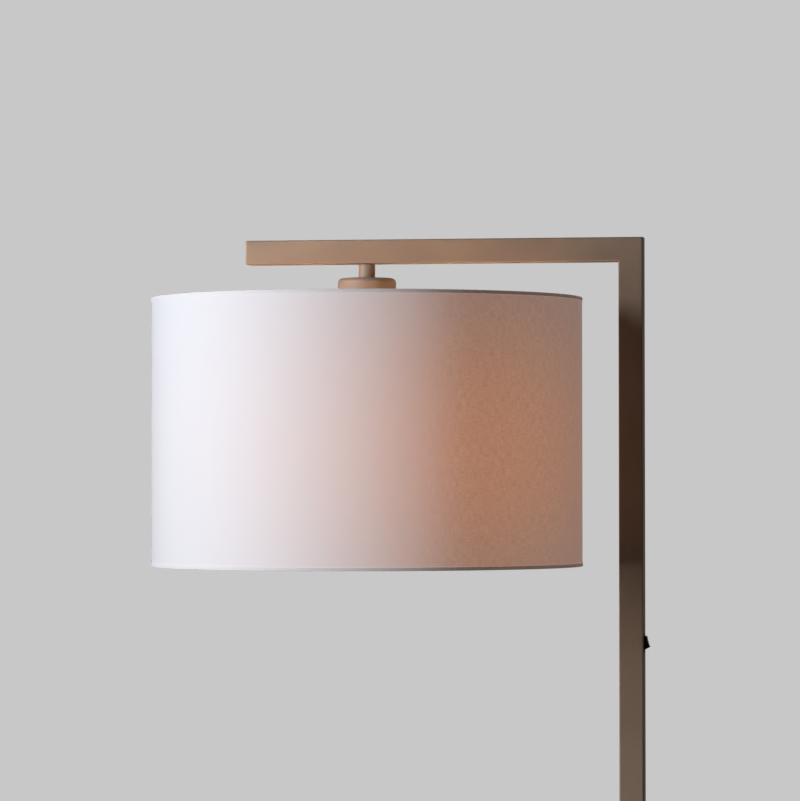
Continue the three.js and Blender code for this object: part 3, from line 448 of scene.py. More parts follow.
class Wiring:
    """Adds nodes to one node tree and links them."""

    noise_band = (0.3, 0.7)

    def __init__(self, tree: bpy.types.NodeTree) -> None:
        """Takes the tree to work in."""
        self.tree = tree

    def feed(self, socket: Socket, value: object) -> None:
        """Links a socket to another, or sets its plain value.

        Args:
            socket: The socket.
            value: The socket that it gets its value from, or the value itself.
        """
        if isinstance(value, bpy.types.NodeSocket):
            self.tree.links.new(value, socket)
        else:
            socket.default_value = value

    def add(
        self, kind: str, inputs: dict[str | int, object] | None = None, **settings: object
    ) -> bpy.types.Node:
        """Adds a node.

        Args:
            kind: The node's type, without its ShaderNode prefix.
            inputs: What each named or numbered input gets: a socket or a plain value.
            settings: The node's own settings.

        Returns:
            The node.
        """
        node = self.tree.nodes.new("ShaderNode" + kind)
        for key, value in settings.items():
            setattr(node, key, value)
        for key, value in (inputs or {}).items():
            self.feed(node.inputs[key], value)
        return node

    def maths(self, operation: str, *values: object) -> Socket:
        """The result of a Math node on sockets or numbers."""
        return self.add("Math", dict(enumerate(values)), operation=operation).outputs[0]

    def vectors(self, operation: str, first: object, second: object) -> Socket:
        """The result of a Vector Math node on two sockets or vectors."""
        node = self.add("VectorMath", {0: first, 1: second}, operation=operation)
        return node.outputs["Value" if operation == "DOT_PRODUCT" else "Vector"]

    def blend(self, share: object, first: object, second: object) -> Socket:
        """A colour mixed from two.

        Args:
            share: How much of the second there is in it, from 0 to 1.
            first: The first colour.
            second: The second colour.

        Returns:
            The mixed colour.
        """
        node = self.add("Mix", data_type="RGBA", clamp_factor=True)
        for socket, value in zip((node.inputs[0], node.inputs[6], node.inputs[7]), (share, first, second)):
            self.feed(socket, value)
        return node.outputs[2]

    def ranged(
        self, value: Socket, low: float, high: float, start: float = 0.0, end: float = 1.0
    ) -> Socket:
        """A value carried from start..end to low..high, and kept inside it."""
        return self.add("MapRange", {0: value, 1: start, 2: end, 3: low, 4: high}).outputs[0]

    def noise(self, where: Socket, scale: object, detail: float, roughness: float = 0.5) -> Socket:
        """Noise at a place, so many patches to a metre."""
        inputs = {"Vector": where, "Scale": scale, "Detail": detail, "Roughness": roughness}
        return self.add("TexNoise", inputs).outputs["Fac"]

    def spread(self, noise: Socket) -> Socket:
        """Noise spread over 0 to 1."""
        return self.ranged(noise, 0.0, 1.0, *self.noise_band)

    def place(self) -> Socket:
        """The point's place on the piece, in metres."""
        return self.add("TexCoord").outputs["Object"]

    def laid(self) -> Socket:
        """The point's place on the cloth when it is laid flat, in metres."""
        return self.add("UVMap").outputs["UV"]


@dataclass(frozen=True)
class Wander:
    """A slow drift of tone over a surface."""

    detail: float = 4.0
    roughness: float = 0.55

    def wire(self, wires: Wiring, size: Socket) -> list[Socket]:
        """Wires the drift, from 0 to 1, in patches of a size."""
        scale = wires.maths("DIVIDE", 1.0, size)
        return [wires.spread(wires.noise(wires.place(), scale, self.detail, self.roughness))]


@dataclass(frozen=True)
class Grain:
    """A fine relief, whose grains are long along each axis with a stretch under 1."""

    stretch: Corner = (1.0, 1.0, 1.0)
    detail: float = 3.0
    roughness: float = 0.5

    def wire(self, wires: Wiring, size: Socket) -> list[Socket]:
        """Wires the relief's height, for grains of a size."""
        where = wires.vectors("MULTIPLY", wires.place(), self.stretch)
        return [wires.noise(where, wires.maths("DIVIDE", 1.0, size), self.detail, self.roughness)]


@dataclass(frozen=True)
class Weave:
    """A plain weave on a UV map laid in metres, with threads of uneven thickness.

    Heights are shares of the finish's relief. A thread is crown high along its middle, more or less
    by the swing where it passes over or under another. Slubs are its thick stretches, so many to a
    metre across the thread and fewer along it.
    """

    crown: float = 0.6
    swing: float = 0.4
    slubs: float = 900.0
    slub_detail: float = 2.0
    slub_height: float = 0.6
    upright_slub: Corner = (1.0, 0.1, 1.0)
    level_slub: Corner = (0.16, 1.0, 1.0)

    def wire(self, wires: Wiring, pitch: Socket) -> list[Socket]:
        """Wires the threads.

        Args:
            wires: The group's wiring.
            pitch: The distance from thread to thread.

        Returns:
            Their height, and their thickness from 0 to 1.
        """
        laid = wires.add("SeparateXYZ", {0: wires.laid()})
        across, along = (
            wires.maths("MULTIPLY", wires.maths("DIVIDE", laid.outputs[i], pitch), math.pi) for i in (0, 1)
        )
        over = wires.maths("MULTIPLY", wires.maths("COSINE", across), wires.maths("COSINE", along))
        threads = []
        for turn, side in ((across, self.swing), (along, -self.swing)):
            bow = wires.maths("ABSOLUTE", wires.maths("SINE", turn))
            threads.append(wires.maths("MULTIPLY", bow, wires.maths("MULTIPLY_ADD", over, side, self.crown)))
        slubs = [
            wires.noise(wires.vectors("MULTIPLY", wires.laid(), stretch), self.slubs, self.slub_detail)
            for stretch in (self.upright_slub, self.level_slub)
        ]
        slub = wires.maths("MULTIPLY", wires.maths("ADD", *slubs), 0.5)
        height = wires.maths("MULTIPLY_ADD", slub, self.slub_height, wires.maths("MAXIMUM", *threads))
        return [height, wires.spread(slub)]


@dataclass(frozen=True)
class Wear:
    """Sharp edges, where a finish rubs thin in patches.

    The dot product of the surface's eased and flat normals tells how sharp it is: up to the first
    value of sharp it is worn in full, and from the second on not at all. The patches come so many
    to a metre, and the least is the share of wear between them.
    """

    samples: int = 6
    sharp: Point = (0.75, 0.98)
    patches: float = 120.0
    patch_detail: float = 3.0
    patch_band: Point = (0.35, 0.65)
    least: float = 0.25

    def wire(self, wires: Wiring, width: Socket) -> list[Socket]:
        """Wires the mask of the worn edges.

        Args:
            wires: The group's wiring.
            width: How wide the worn edges are.

        Returns:
            The mask, from 0 to 1.
        """
        eased_normal = wires.add("Bevel", {"Radius": width}, samples=self.samples).outputs[0]
        flat_normal = wires.add("NewGeometry").outputs["Normal"]
        edge = wires.ranged(wires.vectors("DOT_PRODUCT", eased_normal, flat_normal), 1.0, 0.0, *self.sharp)
        patch = wires.noise(wires.place(), self.patches, self.patch_detail)
        return [wires.maths("MULTIPLY", edge, wires.ranged(patch, self.least, 1.0, *self.patch_band))]


@dataclass(frozen=True)
class PaintedLamplight:
    """A painted glow on the shade's cloth: emission painted in a soft patch on one side of the drum, standing
    in for the lit bulb's light through the cloth.

    The middle is the patch's height above the floor, and the spread how far it reaches up and down
    from there. The bearing is the side it is on, in degrees from the front towards +X, and the
    softness how slowly it fades round the drum.
    """

    middle: float = 1.33
    spread: float = 0.19
    bearing: float = 39.0
    softness: float = 0.6

    def wire(self, wires: Wiring) -> list[Socket]:
        """Wires the painted glow's level.

        Args:
            wires: The group's wiring.

        Returns:
            The level, which is 1 at the middle of the patch.
        """
        cloth, turn = Solid("shade_fabric"), math.radians(self.bearing)
        centre = Vector((cloth.middle.x, 0, self.middle))
        way = Vector((math.sin(turn), -math.cos(turn), 0)) / cloth.radius
        arm = wires.vectors("SUBTRACT", wires.place(), centre)
        facing = wires.vectors("DOT_PRODUCT", arm, way)
        aside = wires.maths("DIVIDE", wires.maths("SUBTRACT", facing, 1.0), self.softness)
        off = wires.maths("DIVIDE", wires.add("SeparateXYZ", {0: arm}).outputs["Z"], self.spread)
        fall = wires.maths("SUBTRACT", aside, wires.maths("MULTIPLY", off, off))
        return [wires.maths("EXPONENT", fall)]


class Effects:
    """Shader node groups that several finishes share, each built once."""

    def __init__(self) -> None:
        """Builds every group."""
        reliefs = {
            Texture.EVEN: ("grain", Grain(roughness=0.6)),
            Texture.DRAWN: ("drawn_lines", Grain(stretch=(1.0, 1.0, 0.04))),
            Texture.TURNED: ("turned_lines", Grain(stretch=(0.06, 0.06, 1.0))),
        }
        self.wander = self.group("wander", ["Size"], ["Value"], Wander().wire)
        self.relief = {
            texture: self.group(name, ["Size"], ["Height"], grain.wire)
            for texture, (name, grain) in reliefs.items()
        }
        self.weave = self.group("weave", ["Pitch"], ["Height", "Shade"], Weave().wire)
        self.wear = self.group("edge_wear", ["Width"], ["Mask"], Wear().wire)
        # The painted glow patch on the shade's cloth.
        self.lit = self.group("painted_lamplight", [], ["Level"], PaintedLamplight().wire)

    def group(
        self, name: str, takes: Sequence[str], gives: Sequence[str], wire: Callable[..., Sequence[Socket]]
    ) -> bpy.types.NodeTree:
        """Makes a group from a function that wires it.

        Args:
            name: The group's name.
            takes: Its inputs, all plain numbers.
            gives: Its outputs, all values that change over the surface.
            wire: Gets the wiring and the input sockets, and returns the output sockets.

        Returns:
            The group's tree.
        """
        tree = bpy.data.node_groups.new(name, "ShaderNodeTree")
        for side, titles in (("INPUT", takes), ("OUTPUT", gives)):
            for title in titles:
                tree.interface.new_socket(title, in_out=side, socket_type="NodeSocketFloat")
        entry, leave = tree.nodes.new("NodeGroupInput"), tree.nodes.new("NodeGroupOutput")
        results = wire(Wiring(tree), *(entry.outputs[title] for title in takes))
        for title, result in zip(gives, results):
            tree.links.new(result, leave.inputs[title])
        return tree


class PaintShop:
    """Makes each finish's material once and puts it on pieces."""

    drift_size = 60 * MM

    def __init__(self, finishes: Sequence[Finish]) -> None:
        """Takes the finishes, keyed by their name or, without one, by their slot.

        Args:
            finishes: All the finishes of the lamp.
        """
        self.effects = Effects()
        self.finishes = {finish.name or finish.slot: finish for finish in finishes}
        self.made: dict[str, Material] = {}

    def material(self, key: str) -> Material:
        """The material of a finish, made when it is first asked for.

        Args:
            key: The finish.

        Returns:
            The material.
        """
        if key not in self.made:
            self.made[key] = self.mix(key, self.finishes[key])
        return self.made[key]

    def mix(self, key: str, finish: Finish) -> Material:
        """Wires the material of a finish.

        Args:
            key: The material's name.
            finish: What it is to look like.

        Returns:
            The material.
        """
        material = bpy.data.materials.new(key + "_finish")
        material.use_nodes = True
        wires = Wiring(material.node_tree)
        shader = material.node_tree.nodes["Principled BSDF"]

        def effect(tree: bpy.types.NodeTree, **inputs: float) -> bpy.types.NodeOutputs:
            """Places a shared effect with its own values."""
            return wires.add("Group", inputs, node_tree=tree).outputs

        drift = effect(self.effects.wander, Size=self.drift_size)["Value"]
        if finish.texture is Texture.WOVEN:
            cloth = effect(self.effects.weave, Pitch=finish.grain)
            height, tone = cloth["Height"], cloth["Shade"]
        else:
            height = effect(self.effects.relief[finish.texture], Size=finish.grain)["Height"]
            tone = wires.maths("MULTIPLY", wires.maths("ADD", drift, height), 0.5)
        dark, light = (
            (*(band * (1 + side * finish.wander) for band in finish.colour), 1.0) for side in (-1, 1)
        )
        colour = wires.blend(tone, dark, light)
        if finish.worn:
            mask = effect(self.effects.wear, Width=finish.wear_width)["Mask"]
            colour = wires.blend(mask, colour, (*finish.worn, 1.0))
        smoother, rougher = (finish.roughness * (1 + side * finish.wander) for side in (-1, 1))
        bump = wires.add("Bump", {"Height": height, "Distance": finish.relief, "Strength": 1.0})
        looks = {
            "Base Color": colour,
            "Roughness": wires.ranged(drift, smoother, min(1.0, rougher)),
            "Normal": bump.outputs[0],
            "Metallic": finish.metallic,
            "Sheen Weight": finish.sheen,
            "Coat Weight": finish.coat,
        }
        if finish.glow:
            material.cycles.emission_sampling = "FRONT"
            looks |= {"Emission Color": (*finish.glow, 1.0), "Emission Strength": finish.power}
        for title, value in looks.items():
            wires.feed(shader.inputs[title], value)
        # Painted lamplight on cloth: emission painted in a patch and round the rest of the drum, thinned
        # where threads are thick.
        if finish.through:
            level = effect(self.effects.lit)["Level"]
            lit = wires.blend(level, (*finish.through, 1.0), (*finish.glow, 1.0))
            passed = wires.ranged(tone, 1 + finish.thick, 1 - finish.thick)
            uneven = wires.add("VectorMath", {0: lit, "Scale": passed}, operation="SCALE")
            wires.feed(shader.inputs["Emission Color"], uneven.outputs[0])
        return material

    def fit(self, piece: Object, key: str, *nodes: str, body: Body = Body.STAND) -> None:
        """Finishes a piece and ties it to the frame.

        Args:
            piece: A modelled piece.
            key: Its finish.
            nodes: The solids that it stands for.
            body: The body that it moves with.
        """
        piece.data.materials.clear()
        piece.data.materials.append(self.material(key))
        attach(piece, body.value)
        if nodes:
            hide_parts(*nodes)
        log.info("%s: %d faces, for %s", piece.name, len(piece.data.polygons), ", ".join(nodes) or "looks")


@dataclass
class Assembly:
    """A sub-assembly of the lamp: it models its pieces on the bench, and the shop finishes them."""

    bench: Bench
    shop: PaintShop


@dataclass
class PostAndArm(Assembly):
    """The square tube: lower post, upper post mitred into the arm, and the arm's end."""

    side: float = 25 * MM
    wall: float = 1.5 * MM
    edge: float = 1.4 * MM
    bore_edge: float = 0.5 * MM
    end_round: float = 1.2 * MM
    end_steps: int = 4
    plug_ease: float = 0.25 * MM
    plug_steps: int = 2
    grub_radius: float = 2.8 * MM
    stem_hole: float = 5.3 * MM
    switch_hole: Point = (19.2 * MM, 13 * MM)

    def bar(self, name: str, side: float, edge: float, spare: float) -> Object:
        """A solid bar that runs up the post and turns through a mitre into the arm.

        Args:
            name: The bar's name.
            side: Its width.
            edge: The radius of its long edges.
            spare: How far it runs on past each end.

        Returns:
            The bar.
        """
        tube, mitre = Solid("arm_frame"), Vector((-1, 0, 1)).normalized()
        post_x, arm_z = tube.high.x - self.side / 2, tube.high.z - self.side / 2
        piece = self.bench.plate(name, (side, side), edge, Vector((post_x, 0, tube.low.z - spare)))
        with self.bench.editing(piece):
            self.bench.pull(UP * (tube.high.z - tube.low.z + spare))
            self.bench.saw((post_x, 0, arm_z), (-1, 0, 1))
            self.bench.pick(Part.FACE, lambda face: face.normal.dot(mitre) > self.bench.same_way)
            self.bench.pull(-EAST * (post_x - tube.low.x + self.side + spare))
            self.bench.saw((tube.low.x - spare, 0, 0), (-1, 0, 0))
            self.bench.settle()
        return piece

    def grub_hole(self, node: str) -> Object:
        """A tool for the hole in the rear wall in front of a grub screw.

        Args:
            node: The screw.

        Returns:
            The tool.
        """
        middle = Solid(node).middle
        middle.y = 0
        return self.bench.rod("grub_hole", self.grub_radius, middle, NORTH * self.side)

    def build_arm(self) -> None:
        """Models the upper post and arm, with its bore and holes, and dresses it."""
        tube = Solid("arm_frame")
        arm = self.bar("arm_tube", self.side, self.edge, 0)
        self.bench.round_rim(arm, EAST, tube.low.x, self.end_round, self.end_steps)
        bore = self.bar("arm_bore", self.side - 2 * self.wall, self.bore_edge, self.side)
        behind_wall = Vector((tube.high.x - 2 * self.wall, 0, Solid("switch_housing").middle.z))
        opening = self.bench.block(
            "switch_opening", self.switch_hole, self.bore_edge, behind_wall, EAST * self.side, FACING_EAST
        )
        stem = Solid("stem_nipple").middle
        stem.z = tube.high.z - self.side - self.wall
        stem_hole = self.bench.rod("stem_hole", self.stem_hole, stem, UP * 3 * self.wall)
        self.bench.carve(arm, bore, opening, stem_hole, self.grub_hole("joiner_screw_upper"))
        self.shop.fit(self.bench.smooth(arm, weighted=True), "bronze", "arm_frame")

    def build_post(self) -> None:
        """Models the lower post, and dresses it."""
        tube, inner = Solid("lower_post"), self.side - 2 * self.wall
        foot = tube.middle
        foot.z = tube.low.z
        post = self.bench.block("post_tube", (self.side, self.side), self.edge, foot, UP * tube.height)
        bore = self.bench.block(
            "post_bore", (inner, inner), self.bore_edge, foot - UP * self.side,
            UP * (tube.height + 2 * self.side),
        )
        self.bench.carve(post, bore, self.grub_hole("joiner_screw_lower"))
        self.shop.fit(self.bench.smooth(post, weighted=True), "bronze", "lower_post")

    def build_plug(self) -> None:
        """Models the plug in the arm's end, and dresses it."""
        tube = Solid("arm_end_plug")
        plug = self.bench.block(
            "arm_end", (tube.depth, tube.depth), self.bore_edge, Vector((tube.low.x, 0, tube.middle.z)),
            EAST * tube.width, FACING_WEST,
        )
        self.bench.round_rim(plug, EAST, tube.low.x, self.plug_ease, self.plug_steps)
        self.shop.fit(self.bench.smooth(plug, weighted=True), "bronze", "arm_end_plug")

    def build(self) -> None:
        """Models the tubes and the arm's end, and dresses them."""
        self.build_arm()
        self.build_post()
        self.build_plug()


@dataclass
class Base(Assembly):
    """The cover over the weight, and the bush in its cable inlet."""

    corner: float = 6 * MM
    edge: float = 2 * MM
    edge_steps: int = 6
    wall: float = 1.5 * MM
    shaft_radius: float = 5.3 * MM
    inlet_radius: float = 5 * MM
    bush_bore: float = 3.5 * MM
    bush_gap: float = 0.3 * MM
    bush_ease: float = 0.4 * MM
    bush_ease_steps: int = 3
    bush_sides: int = 40

    def build_cover(self) -> None:
        """Models the cover, and dresses it."""
        shell = Solid("base_cover")
        outer, inner = shell.width, shell.width - 2 * self.wall
        foot = Vector((0, 0, shell.low.z))
        cover = self.bench.block("cover", (outer, outer), self.corner, foot, UP * shell.height)
        self.bench.round_rim(cover, UP, shell.high.z, self.edge, self.edge_steps)
        hollow = self.bench.block(
            "cover_hollow", (inner, inner), self.corner - self.wall, foot - UP * self.edge,
            UP * (shell.height + self.edge - self.wall),
        )
        shaft, inlet = Solid("foot_nipple").middle, Solid("cable_bush").middle
        shaft.z, inlet.x = shell.high.z - 2 * self.wall, shell.high.x - 2 * self.wall
        shaft_hole = self.bench.rod("shaft_hole", self.shaft_radius, shaft, UP * 3 * self.wall)
        inlet_hole = self.bench.rod("inlet_hole", self.inlet_radius, inlet, EAST * 3 * self.wall)
        self.bench.carve(cover, hollow, shaft_hole, inlet_hole)
        self.shop.fit(self.bench.smooth(cover, weighted=True), "bronze", "base_cover")

    def build_bush(self) -> None:
        """Models the bush, and dresses it."""
        grommet = Solid("cable_bush")
        flange, depth, lip = grommet.height / 2, grommet.width, self.wall
        neck, ease = self.inlet_radius - self.bush_gap, self.bush_ease
        start = Vector((grommet.low.x, grommet.middle.y, grommet.middle.z))
        bush = self.bench.turned("inlet_bush", eased([
            (self.bush_bore, 0, ease), (flange, 0, ease), (flange, lip, ease), (neck, lip, 0),
            (neck, depth - lip, 0), (flange, depth - lip, ease), (flange, depth, 2 * ease),
            (self.bush_bore, depth, 2 * ease),
        ], self.bush_ease_steps), start, self.bush_sides, EAST)
        self.shop.fit(self.bench.smooth(bush), "black_plastic", "cable_bush")

    def build(self) -> None:
        """Models the cover and the bush, and dresses them."""
        self.build_cover()
        self.build_bush()


@dataclass
class Suspension(Assembly):
    """The stem and cup under the arm, and the lampholder with the rings that clamp the shade."""

    bore: float = 5.3 * MM
    ease: float = 0.35 * MM
    cup_wall: float = 1.2 * MM
    cup_shoulder: float = 5 * MM
    cup_sides: int = 96
    shoulder_steps: int = 8
    neck_radius: float = 9 * MM
    neck_height: float = 4.2 * MM
    dome_radius: float = 9.5 * MM
    holder_wall: float = 2.2 * MM
    lip: float = 2 * MM
    ring_bore: float = 20.05 * MM
    ring_ease_steps: int = 3
    flutes: int = 20
    flute_depth: float = 1 * MM
    flute_facets: int = 6
    facets_let_in: tuple[int, ...] = (2, 3, 4)

    def clamp_ring(self, name: str, node: str) -> Object:
        """A fluted ring that screws on the lampholder.

        Args:
            name: The ring's name.
            node: The solid that it stands for.

        Returns:
            The ring.
        """
        nut, centre, steps = Solid(node), shade_axis(), self.flute_facets * self.flutes
        ring = self.bench.turned(name, eased([
            (self.ring_bore, nut.low.z, self.ease), (nut.radius, nut.low.z, 2 * self.ease),
            (nut.radius, nut.high.z, 2 * self.ease), (self.ring_bore, nut.high.z, self.ease),
        ], self.ring_ease_steps), centre, steps)

        def in_flute(vertex: bmesh.types.BMVert) -> bool:
            """Whether a vertex of the rim stands in one of the flutes.

            Args:
                vertex: A vertex of the ring.

            Returns:
                True where the flutes let the rim in.
            """
            arm = vertex.co - centre
            facet = round(math.atan2(arm.y, arm.x) / math.tau * steps) % self.flute_facets
            return arm.xy.length > nut.radius - 3 * self.ease and facet in self.facets_let_in

        with self.bench.editing(ring):
            self.bench.pick(Part.VERTEX, in_flute)
            shrink = 1 - self.flute_depth / nut.radius
            bpy.ops.transform.resize(value=(shrink, shrink, 1), center_override=centre)
        return self.bench.smooth(ring)

    def build_stem_and_cup(self) -> None:
        """Models the stem and the cup, and dresses them."""
        sleeve, shell = Solid("stem_sleeve"), Solid("holder_cup")
        stem = self.bench.turned("stem", eased([
            (self.bore, sleeve.low.z, 0), (sleeve.radius, sleeve.low.z, self.ease),
            (sleeve.radius, sleeve.high.z, self.ease), (self.bore, sleeve.high.z, 0),
        ]), shade_axis())
        self.shop.fit(self.bench.smooth(stem), "turned_bronze_painted_lighter", "stem_sleeve")

        inner, roof = shell.radius - self.cup_wall, shell.high.z - self.cup_wall
        cup = self.bench.turned("cup", eased([
            (self.bore, shell.high.z, 0), (shell.radius, shell.high.z, self.cup_shoulder),
            (shell.radius, shell.low.z, self.ease), (inner, shell.low.z, self.ease),
            (inner, roof, self.cup_shoulder - self.cup_wall), (self.bore, roof, 0),
        ], self.shoulder_steps), shade_axis(), self.cup_sides)
        self.shop.fit(self.bench.smooth(cup, weighted=True), "turned_bronze_painted_lighter", "holder_cup")

    def build_lampholder(self) -> None:
        """Models the lampholder's two halves, and dresses them."""
        cap, body = Solid("holder_cap"), Solid("holder_body")
        top, radius, low, high = cap.high.z, cap.radius, body.low.z, body.high.z
        inner, neck = radius - self.holder_wall, top - self.neck_height
        mouth, roof = inner - self.lip, neck - self.holder_wall
        dome = self.bench.turned("holder_dome", eased([
            (self.bore, top, 0), (self.neck_radius, top, self.ease), (self.neck_radius, neck, 0),
            (radius, neck, self.dome_radius), (radius, cap.low.z, self.ease), (inner, cap.low.z, 0),
            (inner, roof, self.dome_radius - self.holder_wall), (self.bore, roof, 0),
        ], self.shoulder_steps), shade_axis())
        self.shop.fit(self.bench.smooth(dome), "black_plastic", "holder_cap")

        barrel = self.bench.turned("holder_barrel", eased([
            (inner, high, 0), (radius, high, self.ease), (radius, low, 2 * self.ease),
            (mouth, low, 2 * self.ease), (mouth, low + self.lip, 0), (inner, low + 2 * self.lip, 0),
        ]), shade_axis())
        self.shop.fit(self.bench.smooth(barrel), "black_plastic", "holder_body")

    def build(self) -> None:
        """Models the stem, cup, lampholder and clamp rings, and dresses them."""
        self.build_stem_and_cup()
        self.build_lampholder()
        for level in ("upper", "lower"):
            node = "shade_ring_" + level
            self.shop.fit(self.clamp_ring("clamp_ring_" + level, node), "black_plastic", node)


@dataclass
class Shade(Assembly):
    """The drum shade: cloth on a film, edge tapes, wire rings and the fitter's spokes."""

    sides: int = 192
    cloth: float = 0.6 * MM
    tape: float = 0.35 * MM
    tape_gap: float = 0.1 * MM
    tape_ease: float = 0.3 * MM
    tape_ease_steps: int = 3
    gap: float = 0.3 * MM
    wire: float = 2 * MM
    wire_sides: int = 12
    wire_steps: int = 144
    spoke: float = 1.7 * MM
    spoke_bend: float = 9 * MM
    spoke_bend_steps: int = 8
    spokes: int = 3
    first_spoke: float = 90.0
    washer: float = 33 * MM
    washer_bore: float = 20.35 * MM
    washer_ease_steps: int = 2
    lap: float = 12 * MM
    lap_turn: float = 84.0
    lap_thickness: float = 0.22 * MM
    lap_steps: int = 4

    def tube(self, name: str, node: str) -> Object:
        """A rolled sheet of the cloth's thickness.

        Args:
            name: The sheet's name.
            node: The solid that it stands for.

        Returns:
            The sheet.
        """
        roll = Solid(node)
        outer, inner, low, high = roll.radius, roll.radius - self.cloth, roll.low.z, roll.high.z
        return self.bench.turned(
            name, [(inner, low), (outer, low), (outer, high), (inner, high), (inner, low)],
            shade_axis(), self.sides,
        )

    def edge_tape(self, name: str, node: str, rises: bool) -> Object:
        """The tape folded over one edge of the shade, open towards the shade's middle.

        Args:
            name: The tape's name.
            node: The solid that it stands for.
            rises: Whether it is folded over the top edge.

        Returns:
            The tape.
        """
        trim = Solid(node)
        outer = Solid("shade_fabric").radius + self.tape_gap + self.tape
        inner = Solid("shade_liner").radius - self.cloth - 2 * self.gap - 2 * self.wire - self.tape
        edge, hem = (trim.high.z, trim.low.z) if rises else (trim.low.z, trim.high.z)
        fold = edge - self.tape if rises else edge + self.tape
        return self.bench.turned(name, eased([
            (outer, hem, 0), (outer, edge, self.tape_ease), (inner, edge, self.tape_ease), (inner, hem, 0),
            (inner + self.tape, hem, 0), (inner + self.tape, fold, 0), (outer - self.tape, fold, 0),
            (outer - self.tape, hem, 0),
        ], self.tape_ease_steps), shade_axis(), self.sides)

    def wire_ring(self, name: str, height: float) -> Object:
        """A ring of round wire.

        Args:
            name: The ring's name.
            height: How high its middle is.

        Returns:
            The ring.
        """
        self.bench.clear()
        bpy.ops.mesh.primitive_torus_add(
            major_radius=Solid("shade_bottom_ring").radius - self.wire, minor_radius=self.wire,
            major_segments=self.wire_steps, minor_segments=self.wire_sides,
            location=shade_axis() + UP * height,
        )
        return self.bench.named(name)

    def bent_spoke(self, height: float) -> Object:
        """One spoke, from the washer outwards along +X, with a bend and an upright end.

        A fault is open here. The spin turns the bend back over the level stretch, so the upright end
        stands two bends short of the top ring and the spoke is inside out.

        Args:
            height: How high its level stretch is.

        Returns:
            The spoke, with the shade's axis at the origin.
        """
        end = Solid("shade_bottom_ring").radius - self.wire
        rise = Solid("shade_fitter").high.z - self.wire - height
        start, level = self.washer - self.spoke, UP * height
        self.bench.clear()
        bpy.ops.mesh.primitive_circle_add(
            vertices=self.wire_sides, radius=self.spoke, fill_type="NGON",
            location=EAST * start + level, rotation=FACING_EAST,
        )
        piece = self.bench.named("spoke")
        with self.bench.editing(piece):
            self.bench.pull(EAST * (end - self.spoke_bend - start))
            hub = EAST * (end - self.spoke_bend) + level + UP * self.spoke_bend
            bpy.ops.mesh.spin(steps=self.spoke_bend_steps, angle=-math.pi / 2, center=hub, axis=NORTH)
            self.bench.pull(UP * (rise - self.spoke_bend))
            self.bench.settle()
        return piece

    def fitter(self) -> Object:
        """The carrier, made of the washer, the spokes and the top ring.

        The union with the spokes, which are inside out, comes out in one of two ways: with all three
        and the washer, or with one spoke alone. The top ring is joined to neither.

        Returns:
            The carrier.
        """
        axis = shade_axis()
        top = Solid("shade_ring_upper").low.z - self.gap
        foot = Solid("shade_ring_lower").high.z + self.gap
        washer = self.bench.turned("shade_carrier", eased([
            (self.washer_bore, foot, 0), (self.washer, foot, self.gap), (self.washer, top, self.gap),
            (self.washer_bore, top, 0),
        ], self.washer_ease_steps), axis)
        spoke = self.bent_spoke((top + foot) / 2)
        spokes = []
        for i in range(self.spokes):
            copy = spoke.copy()
            copy.data = spoke.data.copy()
            bpy.context.scene.collection.objects.link(copy)
            copy.location = axis
            copy.rotation_euler.z = math.radians(self.first_spoke) + math.tau * i / self.spokes
            self.bench.take(copy)
            bpy.ops.object.transform_apply(location=True, rotation=True, scale=True)
            spokes.append(copy)
        bpy.data.objects.remove(spoke)
        ring = self.wire_ring("top_wire", Solid("shade_fitter").high.z - self.wire)
        self.bench.carve(washer, *spokes, ring, carving=Carving.WELD)
        return washer

    def lap_seam(self) -> Object:
        """The narrow strip at the back where the cloth's ends lap.

        Returns:
            The strip.
        """
        axis, outer = shade_axis(), Solid("shade_fabric").radius
        top, foot = Solid("shade_top_trim").low.z, Solid("shade_bottom_trim").high.z
        middle = axis + EAST * (outer + self.lap_thickness / 2) + UP * (top + foot) / 2
        self.bench.clear()
        bpy.ops.mesh.primitive_plane_add(size=1, location=middle, rotation=FACING_FRONT)
        bpy.context.object.scale = (self.lap_thickness, top - foot - self.gap, 1)
        piece = self.bench.named("lap_seam")
        with self.bench.editing(piece):
            bpy.ops.mesh.spin(steps=self.lap_steps, angle=self.lap / outer, center=axis, axis=UP)
            self.bench.settle()
        turn = Matrix.Rotation(math.radians(self.lap_turn), 4, "Z")
        piece.data.transform(Matrix.Translation(axis) @ turn @ Matrix.Translation(-axis))
        return piece

    def lay_cloth(self, piece: Object) -> None:
        """Lays a piece's UV map in metres, round the drum and up it.

        Args:
            piece: A piece of the cloth or a tape.
        """
        axis, radius = shade_axis(), Solid("shade_fabric").high.y
        shape = bmesh.new()
        shape.from_mesh(piece.data)
        layer = shape.loops.layers.uv.verify()

        def bearing(place: Vector) -> float:
            """The direction of a place from the axis, counted from the front towards +X."""
            arm = place - axis
            return math.atan2(arm.x, -arm.y)

        for face in shape.faces:
            middle = bearing(face.calc_center_median())
            for loop in face.loops:
                off = (bearing(loop.vert.co) - middle + math.pi) % math.tau - math.pi
                inset = (loop.vert.co - axis).xy.length - radius
                loop[layer].uv = ((middle + off) * radius, loop.vert.co.z + inset)
        shape.to_mesh(piece.data)
        shape.free()

    def build(self) -> None:
        """Models the shade and dresses it."""
        carrier = self.bench.smooth(self.fitter())
        self.shop.fit(carrier, "white_enamel", "shade_fitter")
        ring = self.bench.smooth(self.wire_ring("bottom_wire", Solid("shade_bottom_ring").middle.z))
        self.shop.fit(ring, "white_enamel", "shade_bottom_ring")
        film = self.bench.smooth(self.tube("shade_film", "shade_liner"))
        self.shop.fit(film, "liner", "shade_liner")

